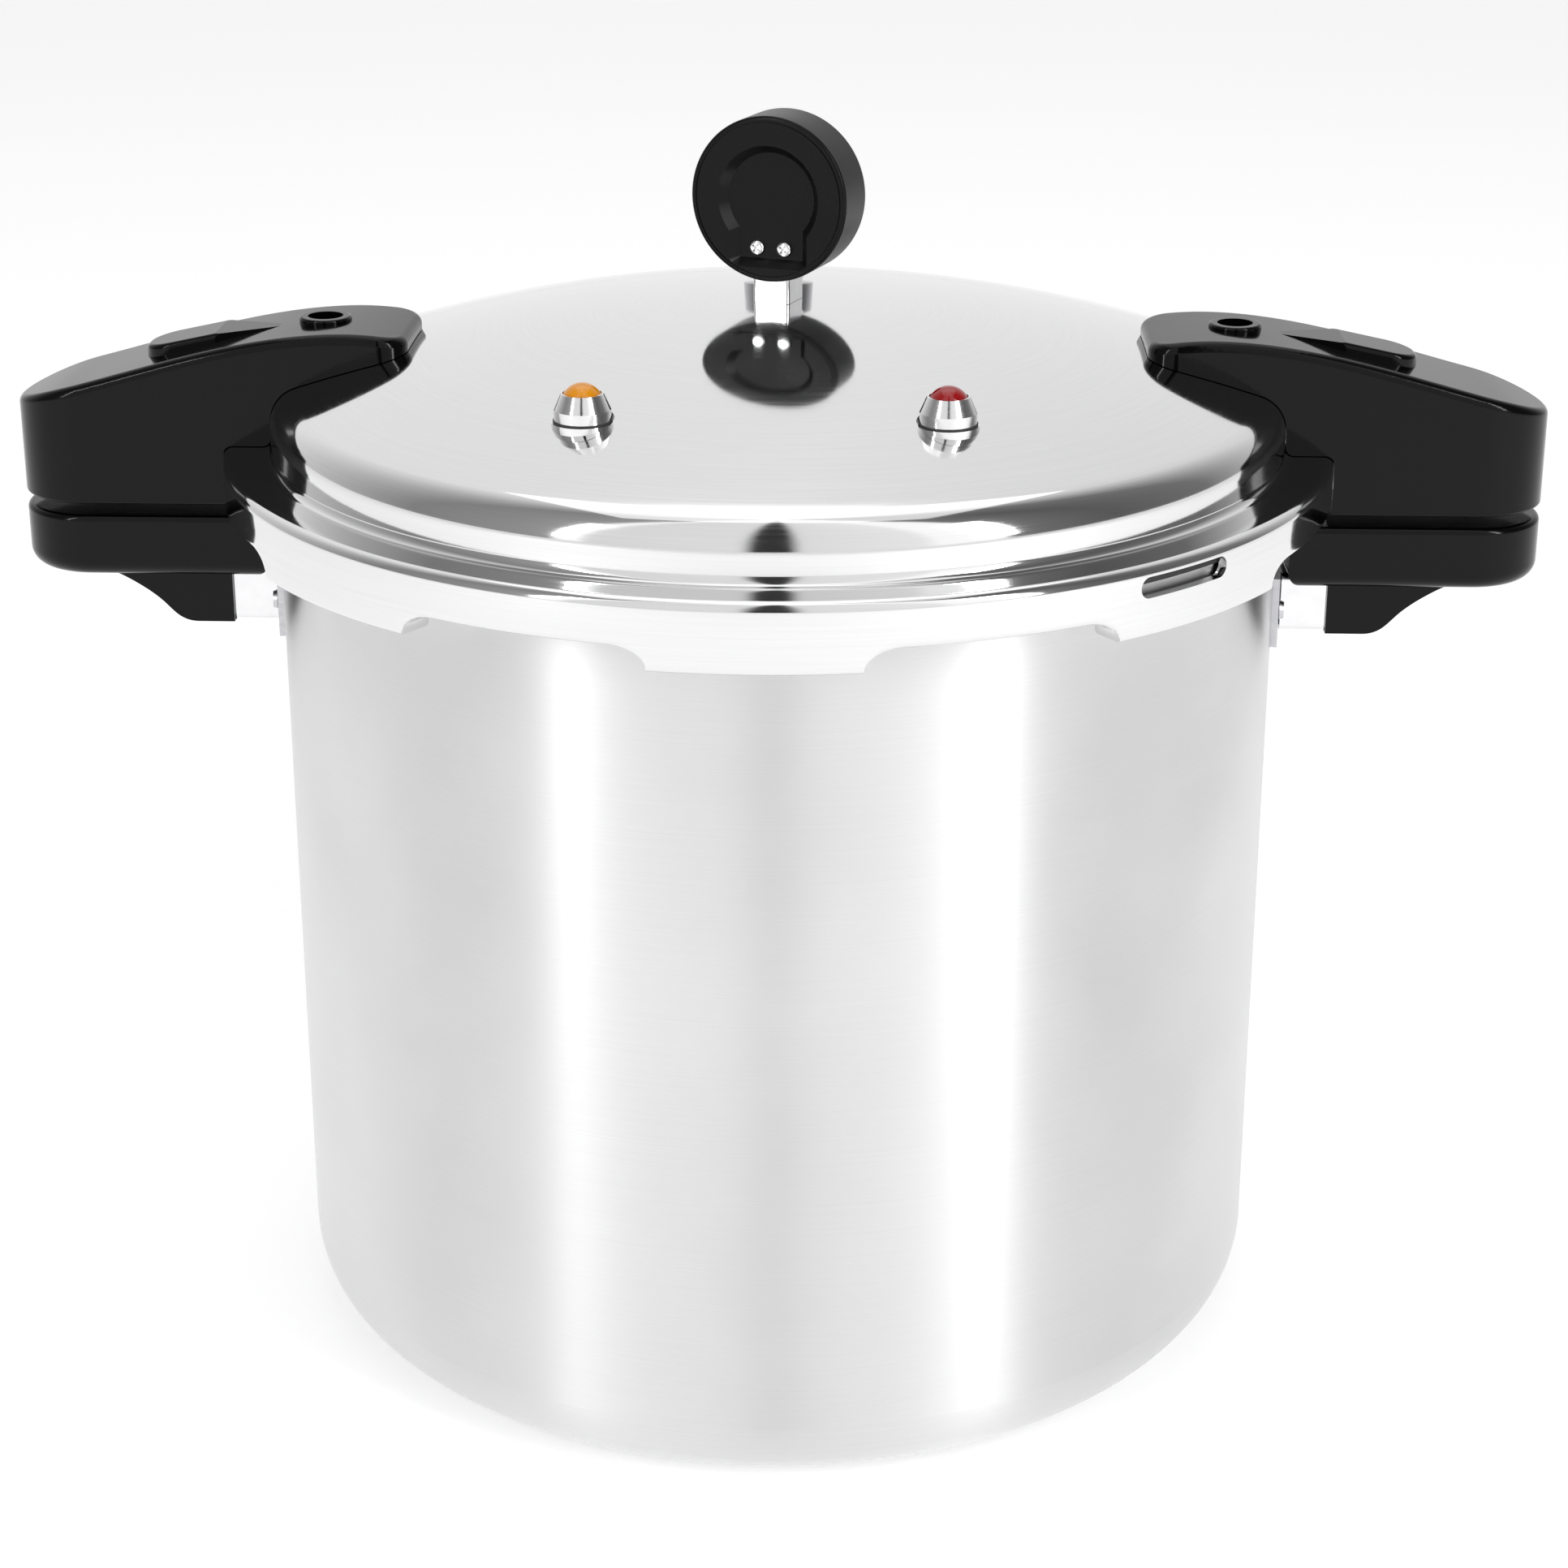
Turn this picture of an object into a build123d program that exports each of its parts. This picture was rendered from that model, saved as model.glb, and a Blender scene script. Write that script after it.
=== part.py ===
from build123d import *
import os
from math import atan2, cos, degrees, radians, sin, sqrt

os.makedirs("parts", exist_ok=True)

# Millimetres. +Z up, origin on the floor under the centre of the pot.
# The handles lie along X. An angle round the pot is measured from +X, counter-clockwise from above.

# Pot
pot_inner_diameter = 320.0
pot_wall = 3.0
pot_base = 3.5
pot_base_corner = 24.0
pot_height = 290.0
rim_flange_reach = 4.5
rim_flange_thickness = 4.0
tooth_reach = 13.0
tooth_height = 7.0
tooth_arc = 18.0
tooth_angles = (-90.0, -45.6, 43.7, 90.0, 134.4, 223.7)

# Lid
lid_thickness = 3.0
lid_wall_rise = 8.175
crown_radius = 500.0
shoulder_radius = 12.0
lid_wall_gap = 1.3
ledge_height = 6.75
skirt_gap = 1.0
lug_depth = 14.5
notch_depth = 7.5
lip_thickness = 6.5
lip_gap = 0.8
notch_arcs = ((-79.0, -56.6), (-31.5, 31.5), (56.6, 79.0), (101.0, 123.4), (148.5, 211.5), (236.6, 259.0))
window_angle = -47.25
window_length = 36.0
window_height = 6.4
seat_depth = 5.5
ledge_fillet = 3.0

# Sealing ring and clearances
seal_gap = 0.3
fit_gap = 0.2
running_gap = 0.05

# Handles
handle_tip_inset = 45.8
handle_overhang = 85.2
handle_half_width = 24.0
handle_top_drop = 8.0
handle_bottom_lift = 1.5
tip_corner = 9.0
handle_screw_inset = 16.8
eyelet_radius = 8.5
well_radius = 5.75
screw_radius = 2.5
pot_handle_gap = 4.0
slab_thickness = 21.0
ferrule_width = 26.0
ferrule_height = 19.2
ferrule_drop = 19.3
ferrule_wall = 1.3
ferrule_length = 19.0
neck_half_width = 14.5
bolt_radius = 3.0

# Valves
valve_inset = 47.5
valve_spread = 27.3
valve_nut_radius = 8.5
valve_bush_radius = 5.0
plunger_radius = 5.75
plunger_stem = 2.2
plunger_travel = 3.0

# Gauge
gauge_radius = 26.5
gauge_depth = 17.5
gauge_turn = 20.0
gauge_rise = 7.3
gauge_wall = 1.2
bezel_depth = 2.5
recess_depth = 3.0
stem_width = 12.5
stem_shank = 5.0
pinion_radius = 2.0
sector_pivot_reach = 8.6

# Vent pipe and regulator
vent_offset = 58.0
vent_side = -2.0
vent_radius = 3.5
vent_length = 15.0
weight_radius = 12.0
weight_height = 20.0

# Jar rack
rack_gap = 12.0
rack_height = 16.5
rack_thickness = 1.5
rack_edge = 14.0

# Derived places
pot_bore = pot_inner_diameter / 2
pot_outer = pot_bore + pot_wall
tooth_radius = pot_outer + tooth_reach
tooth_bottom = pot_height - tooth_height
lid_wall = pot_outer + lid_wall_gap
skirt_radius = tooth_radius + skirt_gap + lid_thickness
ledge = pot_height + ledge_height
skirt_bottom = pot_height - lug_depth
notch_top = pot_height - notch_depth
lip_inner = pot_outer + rim_flange_reach + lip_gap
dome_reach = lid_wall - shoulder_radius
crown_centre = ledge + lid_wall_rise - sqrt((crown_radius - shoulder_radius) ** 2 - dome_reach**2)
crown_top = crown_centre + crown_radius
handle_tip_reach = lid_wall - handle_tip_inset
handle_end_reach = lid_wall + handle_overhang
handle_screw_reach = lid_wall - handle_screw_inset
handle_top = crown_top - handle_top_drop
valve_reach = lid_wall - valve_inset
rack_radius = pot_bore - rack_gap
rack_ring_radius = rack_radius - rack_edge


def crown_z(reach, inset=0.0):
    return crown_centre + sqrt((crown_radius - inset) ** 2 - reach**2)


def section_plane(angle):
    turn = radians(angle)
    return Plane(origin=(0, 0, 0), x_dir=(cos(turn), sin(turn), 0), z_dir=(sin(turn), -cos(turn), 0))


def save(piece, name):
    piece.part.label = name
    export_step(piece.part, "parts/" + name + ".step")


def lid_outline(inset):
    """Crown and shoulder arcs of the lid, drawn into the current line, moved in by inset."""
    centre_z = ledge + lid_wall_rise
    slope = degrees(atan2(centre_z - crown_centre, dome_reach))
    crown = CenterArc((0, crown_centre), crown_radius - inset, slope, 90.0 - slope)
    shoulder = CenterArc((dome_reach, centre_z), shoulder_radius - inset, 0.0, slope)
    return crown @ 1, shoulder @ 0


def rings(radius, inner, low, high, places):
    """Plain rings or discs standing on Z, one at each place."""
    with BuildPart() as made:
        with BuildSketch(Plane.XY.offset(low)):
            with Locations(*places):
                Circle(radius)
                if inner > 0:
                    Circle(inner, mode=Mode.SUBTRACT)
        extrude(amount=high - low)
    return made


def hex_nuts(across, inner, low, high, places):
    with BuildPart() as made:
        with BuildSketch(Plane.XY.offset(low)):
            with Locations(*places):
                RegularPolygon(across / 2, 6, major_radius=False)
                Circle(inner, mode=Mode.SUBTRACT)
        extrude(amount=high - low)
    return made


# ---------------------------------------------------------------- pot

with BuildPart() as pot_shell:
    with BuildSketch(Plane.XZ):
        with BuildLine():
            flat = Line((0, 0), (pot_outer - pot_base_corner, 0))
            corner = JernArc(flat @ 1, (1, 0), pot_base_corner, 90)
            flange_bottom = pot_height - rim_flange_thickness
            inner_corner = pot_base_corner - pot_wall
            Polyline(
                corner @ 1,
                (pot_outer, flange_bottom),
                (pot_outer + rim_flange_reach, flange_bottom),
                (pot_outer + rim_flange_reach, pot_height),
                (pot_bore, pot_height),
                (pot_bore, pot_base + inner_corner),
            )
            inside = JernArc((pot_bore, pot_base + inner_corner), (0, -1), inner_corner, -90)
            Polyline(inside @ 1, (0, pot_base), (0, 0))
        make_face()
    revolve(axis=Axis.Z)
    for angle in tooth_angles:
        with BuildSketch(section_plane(angle - tooth_arc / 2)):
            with BuildLine():
                Polyline(
                    (pot_outer - pot_wall / 2, pot_height),
                    (tooth_radius, pot_height),
                    (tooth_radius, tooth_bottom + 2.0),
                    (tooth_radius - 2.0, tooth_bottom),
                    (pot_outer - pot_wall / 2, tooth_bottom),
                    close=True,
                )
            make_face()
        revolve(axis=Axis.Z, revolution_arc=tooth_arc)
save(pot_shell, "pot_shell")

# Bracket, ferrule, handle and bolt of the pot's right side; the left side is their mirror image.
slab_top = skirt_bottom + handle_bottom_lift - pot_handle_gap
slab_bottom = slab_top - slab_thickness
ferrule_top = slab_top - ferrule_drop
ferrule_bottom = ferrule_top - ferrule_height
bolt_z = ferrule_top - ferrule_height / 2
bracket_thickness = 2.2
bracket_outer = pot_outer + bracket_thickness
bracket_arc = 17.0
ferrule_start = bracket_outer + fit_gap
ferrule_end = ferrule_start + ferrule_length
neck_start = ferrule_end - 4.2
boss_end = ferrule_start + 11.0
bolt_seat = ferrule_end + 11.0
bolt_head_height = 5.0

with BuildPart() as pot_bracket_right:
    with BuildSketch(section_plane(-bracket_arc / 2)):
        with Locations((pot_outer + bracket_thickness / 2, bolt_z)):
            Rectangle(bracket_thickness, ferrule_height + 4.0)
    revolve(axis=Axis.Z, revolution_arc=bracket_arc)
    with BuildSketch(Plane.YZ.offset(pot_outer + 0.8)):
        with Locations((0, bolt_z)):
            Rectangle(ferrule_width - 6.0, ferrule_height - 6.0)
    extrude(amount=boss_end - pot_outer - 0.8)
    with BuildSketch(Plane.YZ.offset(pot_outer + 3.0)):
        with Locations((0, bolt_z)):
            Circle(bolt_radius)
    extrude(amount=boss_end, mode=Mode.SUBTRACT)
save(pot_bracket_right, "pot_bracket_right")

rivet_offset = 20.0
rivet_turn = degrees(rivet_offset / pot_outer)
with BuildPart() as bracket_rivets:
    for side in (0.0, 180.0):
        for shift in (-rivet_turn, rivet_turn):
            turn = radians(side + shift)
            face = Plane(
                origin=(bracket_outer * cos(turn), bracket_outer * sin(turn), bolt_z),
                z_dir=(cos(turn), sin(turn), 0),
            )
            with BuildSketch(face.offset(fit_gap)):
                Circle(3.2)
            extrude(amount=1.4, taper=20)
save(bracket_rivets, "bracket_rivets")

with BuildPart() as ferrule_right:
    with BuildSketch(Plane.YZ.offset(ferrule_start)):
        with Locations((0, bolt_z)):
            RectangleRounded(ferrule_width, ferrule_height, 2.0)
            inner_width = ferrule_width - 2 * ferrule_wall
            inner_height = ferrule_height - 2 * ferrule_wall
            RectangleRounded(inner_width, inner_height, 1.0, mode=Mode.SUBTRACT)
    extrude(amount=ferrule_length)
save(ferrule_right, "ferrule_right")

end_centre = handle_end_reach - handle_half_width
with BuildPart() as pot_handle_right:
    with BuildSketch(Plane.XY.offset(slab_bottom)):
        with BuildLine():
            near = Line((ferrule_start + 0.6, -handle_half_width), (end_centre, -handle_half_width))
            cap = JernArc(near @ 1, (1, 0), handle_half_width, 180)
            Polyline(cap @ 1, (ferrule_start + 0.6, handle_half_width), near @ 0)
        make_face()
    extrude(amount=slab_thickness)
    fillet(pot_handle_right.faces().sort_by(Axis.Z)[0].edges(), 6.0)
    fillet(pot_handle_right.faces().sort_by(Axis.Z)[-1].edges(), 2.0)
    with BuildSketch(Plane.XZ.offset(-neck_half_width)):
        with BuildLine():
            foot_z = ferrule_bottom - 0.4
            low = Line((neck_start, foot_z), (neck_start + 12.0, foot_z))
            rise = Spline(
                low @ 1,
                (neck_start + 23.0, foot_z + 6.5),
                (neck_start + 34.0, foot_z + 14.5),
                (neck_start + 46.0, slab_bottom + 0.6),
                tangents=((1, 0), (1, 0.1)),
            )
            Polyline(rise @ 1, (neck_start + 46.0, slab_bottom + 8.0), (neck_start, slab_bottom + 8.0), low @ 0)
        make_face()
    extrude(amount=2 * neck_half_width)
    with BuildSketch(Plane.YZ.offset(pot_outer)):
        with Locations((0, bolt_z)):
            Rectangle(ferrule_width + 2 * fit_gap, ferrule_height + 2 * fit_gap)
    extrude(amount=ferrule_end + fit_gap - pot_outer, mode=Mode.SUBTRACT)
    with BuildSketch(Plane.YZ.offset(ferrule_start)):
        with Locations((0, bolt_z)):
            Circle(bolt_radius + 0.3)
    extrude(amount=bolt_seat - ferrule_start, mode=Mode.SUBTRACT)
    with BuildSketch(Plane.YZ.offset(bolt_seat)):
        with Locations((0, bolt_z)):
            Circle(bolt_radius + 2.6)
    extrude(amount=40.0, mode=Mode.SUBTRACT)
save(pot_handle_right, "pot_handle_right")

with BuildPart() as pot_bolt_right:
    with BuildSketch(Plane.YZ.offset(pot_outer + 3.0)):
        with Locations((0, bolt_z)):
            Circle(bolt_radius)
    extrude(amount=bolt_seat - pot_outer - 3.0)
    with BuildSketch(Plane.YZ.offset(bolt_seat)):
        with Locations((0, bolt_z)):
            Circle(bolt_radius + 2.0)
            RegularPolygon(2.5, 6, mode=Mode.SUBTRACT)
    extrude(amount=bolt_head_height)
    with BuildSketch(Plane.YZ.offset(bolt_seat)):
        with Locations((0, bolt_z)):
            Circle(bolt_radius + 2.0)
    extrude(amount=bolt_head_height / 3)

with BuildPart() as pot_handle_bolts:
    add(pot_bolt_right.part)
    add(pot_bolt_right.part.mirror(Plane.YZ))
save(pot_handle_bolts, "pot_handle_bolts")

for right, name in (
    (pot_bracket_right, "pot_bracket_left"),
    (ferrule_right, "ferrule_left"),
    (pot_handle_right, "pot_handle_left"),
):
    with BuildPart() as left_piece:
        add(right.part.mirror(Plane.YZ))
    save(left_piece, name)

# ---------------------------------------------------------------- jar rack

rack_floor = pot_base + seal_gap
with BuildPart() as jar_rack:
    with BuildSketch(Plane.XY.offset(rack_floor)):
        Circle(rack_ring_radius)
        Circle(rack_ring_radius - rack_thickness, mode=Mode.SUBTRACT)
    extrude(amount=rack_height - rack_thickness)
    with BuildSketch(Plane.XY.offset(rack_floor)):
        with PolarLocations(rack_ring_radius, 8):
            Rectangle(12.0, 60.0)
    extrude(amount=rack_height - 6.0, mode=Mode.SUBTRACT)
    with BuildSketch(Plane.XY.offset(rack_floor + rack_height - rack_thickness)):
        Circle(rack_radius)
        for radius, count in ((28.0, 6), (62.0, 12), (98.0, 18)):
            with PolarLocations(radius, count):
                Circle(7.0, mode=Mode.SUBTRACT)
    extrude(amount=rack_thickness)
save(jar_rack, "jar_rack")

# ---------------------------------------------------------------- sealing ring

ring_inner = pot_bore + 0.6
ring_outer = skirt_radius - lid_thickness - seal_gap
ring_low = pot_height + seal_gap
ring_top = ledge - lid_thickness - seal_gap
with BuildPart() as sealing_ring:
    with BuildSketch(Plane.XZ):
        with BuildLine():
            lip_outer = lid_wall - lid_thickness - seal_gap
            Polyline(
                (ring_inner, ring_low),
                (ring_outer, ring_low),
                (ring_outer, ring_top),
                (lip_outer, ring_top),
                (ring_inner, ring_top - 0.4),
                close=True,
            )
        make_face()
    revolve(axis=Axis.Z)
save(sealing_ring, "sealing_ring")

# ---------------------------------------------------------------- lid

valve_angles = (-90.0 - valve_spread, -90.0 + valve_spread)
valve_places = [(valve_reach * cos(radians(a)), valve_reach * sin(radians(a))) for a in valve_angles]
valve_seat = crown_z(valve_reach)
vent_place = (vent_side, vent_offset)
vent_seat = crown_z(sqrt(vent_side**2 + vent_offset**2))
screw_places = [(-handle_screw_reach, 0), (handle_screw_reach, 0)]
screw_seat = crown_z(handle_screw_reach)
seat_rings = (
    (valve_nut_radius + 0.8, valve_seat, valve_places),
    (7.6, vent_seat, [vent_place]),
)

with BuildPart() as screw_bosses:
    with BuildSketch(Plane.XY.offset(screw_seat - seat_depth - 0.5)):
        with Locations(*screw_places):
            Circle(8.0)
    extrude(amount=seat_depth + 4.0)
    with BuildSketch(Plane.XZ):
        with BuildLine():
            skin, skin_wall = lid_outline(lid_thickness / 2)
            Polyline(skin_wall, (lid_wall - lid_thickness / 2, ledge), (0, ledge), skin)
        make_face()
    revolve(axis=Axis.Z, mode=Mode.INTERSECT)

with BuildPart() as lid_shell:
    with BuildSketch(Plane.XZ) as lid_section:
        with BuildLine():
            top, wall_top = lid_outline(0.0)
            under, wall_under = lid_outline(lid_thickness)
            Polyline(
                wall_top,
                (lid_wall, ledge),
                (skirt_radius, ledge),
                (skirt_radius, skirt_bottom),
                (skirt_radius - lid_thickness, skirt_bottom),
                (skirt_radius - lid_thickness, ledge - lid_thickness),
                (lid_wall - lid_thickness, ledge - lid_thickness),
                wall_under,
            )
            Line(top, under)
        make_face()
        ledge_corners = lid_section.vertices().filter_by_position(Axis.Y, ledge - 0.01, ledge + 0.01)
        fillet(ledge_corners, ledge_fillet)
    revolve(axis=Axis.Z)
    for start, stop in notch_arcs:
        with BuildSketch(section_plane(start)):
            with Locations((skirt_radius - lid_thickness / 2, skirt_bottom)):
                Rectangle(lid_thickness + 2.0, 2 * (notch_top - skirt_bottom))
        revolve(axis=Axis.Z, revolution_arc=stop - start, mode=Mode.SUBTRACT)
    lug_arcs = [(notch_arcs[i - 1][1], notch_arcs[i][0]) for i in range(len(notch_arcs))]
    for start, stop in lug_arcs:
        arc = (stop - start) % 360.0
        with BuildSketch(section_plane(start)):
            with Locations(((lip_inner + skirt_radius - lid_thickness + 1.0) / 2, skirt_bottom + lip_thickness / 2)):
                Rectangle(skirt_radius - lid_thickness + 1.0 - lip_inner, lip_thickness)
        revolve(axis=Axis.Z, revolution_arc=arc)
    window_turn = radians(window_angle)
    window_plane = Plane(
        origin=(
            (skirt_radius - lid_thickness - 1.0) * cos(window_turn),
            (skirt_radius - lid_thickness - 1.0) * sin(window_turn),
            ledge - lid_thickness - seal_gap - window_height / 2,
        ),
        x_dir=(-sin(window_turn), cos(window_turn), 0),
        z_dir=(cos(window_turn), sin(window_turn), 0),
    )
    with BuildSketch(window_plane):
        SlotOverall(window_length, window_height)
    extrude(amount=12.0, mode=Mode.SUBTRACT)
    for radius, seat, places in seat_rings:
        with BuildSketch(Plane.XY.offset(seat - seat_depth)):
            with Locations(*places):
                Circle(radius)
        extrude(amount=seat_depth)
        with BuildSketch(Plane.XY.offset(seat)):
            with Locations(*places):
                Circle(radius)
        extrude(amount=6.0, mode=Mode.SUBTRACT)
    add(screw_bosses.part)
    with BuildSketch(Plane.XY.offset(pot_height)):
        with Locations(*valve_places):
            Circle(valve_bush_radius + fit_gap)
        with Locations(vent_place):
            Circle(vent_radius + fit_gap)
        with Locations(*screw_places):
            Circle(screw_radius + fit_gap)
        Circle(stem_shank + fit_gap)
    extrude(amount=crown_top + 5.0 - pot_height, mode=Mode.SUBTRACT)
save(lid_shell, "lid_shell")

# Solid under the lid's outer surface, used to fit the handles closely round it.
with BuildPart() as lid_envelope:
    with BuildSketch(Plane.XZ) as envelope_section:
        with BuildLine():
            top, wall_top = lid_outline(-fit_gap)
            Polyline(
                wall_top,
                (lid_wall + fit_gap, ledge + fit_gap),
                (skirt_radius + fit_gap, ledge + fit_gap),
                (skirt_radius + fit_gap, pot_height / 2),
                (0, pot_height / 2),
                top,
            )
        make_face()
        high = ledge + fit_gap
        envelope_corners = envelope_section.vertices().filter_by_position(Axis.Y, high - 0.01, high + 0.01)
        fillet(envelope_corners, ledge_fillet)
    revolve(axis=Axis.Z)

# ---------------------------------------------------------------- lid handles

handle_low = skirt_bottom + handle_bottom_lift
pad_length = 46.0
pad_start = handle_screw_reach + 12.5
pad_end = pad_start + pad_length
pad_half_width = 10.5

with BuildPart() as thumb_pad:
    with BuildSketch(Plane.XY.offset(handle_low + 25.0)):
        with BuildLine():
            edge = Line((pad_start, -1.0), (pad_start + 22.0, -pad_half_width))
            side_line = Line(edge @ 1, (pad_end - 9.0, -pad_half_width))
            turn_out = JernArc(side_line @ 1, (1, 0), 9.0, 90)
            turn_in = JernArc((pad_end, pad_half_width - 9.0), (0, 1), 9.0, 90)
            Line(turn_out @ 1, turn_in @ 0)
            Polyline(turn_in @ 1, (pad_start + 22.0, pad_half_width), (pad_start, 1.0), edge @ 0)
        make_face()
    extrude(amount=60.0)
    with BuildSketch(Plane.XZ.offset(-pad_half_width - 2.0)):
        with BuildLine():
            Polyline(
                (pad_start - 1.0, handle_low),
                (pad_start - 1.0, handle_top - 1.6),
                (pad_start + 22.0, handle_top - 2.6),
                (pad_end + 1.0, handle_top - 7.9),
                (pad_end + 1.0, handle_low),
                close=True,
            )
        make_face()
    extrude(amount=2 * pad_half_width + 4.0, mode=Mode.INTERSECT)
    fillet(thumb_pad.faces().sort_by(Axis.X)[-1].edges().sort_by(Axis.Z)[-1], 1.5)

with BuildPart() as lid_handle_right:
    with BuildSketch(Plane.XZ.offset(-handle_half_width - 1.0)):
        with BuildLine():
            ridge = Spline(
                (handle_tip_reach - 2.0, handle_top - 2.6),
                (handle_tip_reach + 14.0, handle_top),
                (handle_screw_reach + 2.5, handle_top - 0.3),
                (handle_end_reach - 74.5, handle_top - 4.0),
                (handle_end_reach - 49.5, handle_top - 10.1),
                (handle_end_reach - 24.5, handle_top - 17.0),
                (handle_end_reach + 2.0, handle_top - 25.6),
                tangents=((1, 0.3), (1, -0.38)),
            )
            outer_foot = (handle_end_reach + 2.0, handle_low)
            Polyline(ridge @ 1, outer_foot, (handle_tip_reach - 2.0, handle_low), ridge @ 0)
        make_face()
    extrude(amount=2 * handle_half_width + 2.0)
    with BuildSketch(Plane.XY.offset(handle_low - 1.0)) as plan:
        with BuildLine():
            near = Line((handle_tip_reach, -handle_half_width), (end_centre, -handle_half_width))
            cap = JernArc(near @ 1, (1, 0), handle_half_width, 180)
            Polyline(cap @ 1, (handle_tip_reach, handle_half_width), near @ 0)
        make_face()
        fillet(plan.vertices().sort_by(Axis.X)[:2], tip_corner)
    extrude(amount=100.0, mode=Mode.INTERSECT)
    top_face = lid_handle_right.faces().filter_by(GeomType.PLANE, reverse=True).sort_by(Axis.Z)[-1]
    fillet(top_face.edges(), 3.0)
    fillet(lid_handle_right.faces().sort_by(Axis.Z)[0].edges(), 1.0)
    add(thumb_pad.part)
    with BuildSketch(Plane.XY.offset(handle_top - 4.0)):
        with Locations((handle_screw_reach, 0)):
            Circle(eyelet_radius)
    extrude(amount=5.5)
    fillet(lid_handle_right.faces().sort_by(Axis.Z)[-1].edges(), 0.8)
    add(lid_envelope.part, mode=Mode.SUBTRACT)
    with BuildSketch(Plane.XY.offset(screw_seat + 4.5)):
        with Locations((handle_screw_reach, 0)):
            Circle(well_radius)
    extrude(amount=30.0, mode=Mode.SUBTRACT)
    with BuildSketch(Plane.XY.offset(screw_seat - 10.0)):
        with Locations((handle_screw_reach, 0)):
            Circle(screw_radius + fit_gap)
    extrude(amount=30.0, mode=Mode.SUBTRACT)
save(lid_handle_right, "lid_handle_right")

with BuildPart() as lid_handle_left:
    add(lid_handle_right.part.mirror(Plane.YZ))
save(lid_handle_left, "lid_handle_left")

under_seat = screw_seat - seat_depth - 0.5
washer_height = 1.0
nut_height = 5.0
with BuildPart() as handle_screws:
    with BuildSketch(Plane.XY.offset(under_seat - washer_height - nut_height + 1.0)):
        with Locations(*screw_places):
            Circle(screw_radius)
    extrude(amount=screw_seat + 4.5 - under_seat + washer_height + nut_height - 1.0)
    with BuildSketch(Plane.XY.offset(screw_seat + 4.5)):
        with Locations(*screw_places):
            Circle(screw_radius + 2.2)
    extrude(amount=3.0)
    with BuildSketch(Plane.XY.offset(screw_seat + 6.0)):
        with Locations(*screw_places):
            Rectangle(6.0, 1.2)
            Rectangle(1.2, 6.0)
    extrude(amount=3.0, mode=Mode.SUBTRACT)
save(handle_screws, "handle_screws")
save(rings(7.5, screw_radius + fit_gap, under_seat - washer_height, under_seat, screw_places), "handle_washers")

with BuildPart() as handle_cap_nuts:
    with BuildSketch(Plane.XY.offset(under_seat - washer_height - nut_height)):
        with Locations(*screw_places):
            RegularPolygon(4.5, 6, major_radius=False)
    extrude(amount=nut_height)
    with BuildSketch(Plane.XY.offset(under_seat - washer_height - nut_height + 1.0)):
        with Locations(*screw_places):
            Circle(screw_radius)
    extrude(amount=nut_height, mode=Mode.SUBTRACT)
save(handle_cap_nuts, "handle_cap_nuts")

# ---------------------------------------------------------------- safety valves

seal_thickness = 0.6
nut_low = valve_seat + seal_thickness
nut_tall = 8.0
thread_top = nut_low + 2.0
bush_low = valve_seat - 12.0
clip_low = valve_seat - 20.0
clip_thickness = 1.3

save(rings(valve_nut_radius + 0.3, valve_bush_radius + fit_gap, valve_seat, nut_low, valve_places), "valve_seals")

with BuildPart() as valve_nuts:
    for place in valve_places:
        with BuildSketch(Plane(origin=(place[0], place[1], nut_low), z_dir=(0, -1, 0), x_dir=(1, 0, 0))):
            with BuildLine():
                Polyline(
                    (valve_bush_radius, 0),
                    (valve_nut_radius, 0),
                    (valve_nut_radius, 3.2),
                    (plunger_radius + 0.6, nut_tall),
                    (plunger_radius + running_gap, nut_tall),
                    (plunger_radius + running_gap, 2.0),
                    (valve_bush_radius, 2.0),
                    close=True,
                )
            make_face()
        revolve(axis=Axis((place[0], place[1], 0), (0, 0, 1)))
save(valve_nuts, "valve_nuts")

under_valve = valve_seat - seat_depth
flange_low = under_valve - 3.5
with BuildPart() as valve_bushes:
    with BuildSketch(Plane.XY.offset(bush_low)):
        with Locations(*valve_places):
            Circle(valve_bush_radius)
            Circle(plunger_stem + running_gap, mode=Mode.SUBTRACT)
    extrude(amount=thread_top - bush_low)
    with BuildSketch(Plane.XY.offset(flange_low)):
        with Locations(*valve_places):
            RegularPolygon(8.0, 6, major_radius=False)
            Circle(plunger_stem + running_gap, mode=Mode.SUBTRACT)
    extrude(amount=2.5)
save(valve_bushes, "valve_bushes")
save(rings(8.0, valve_bush_radius + fit_gap, flange_low + 2.5, under_valve, valve_places), "valve_inner_seals")

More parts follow.
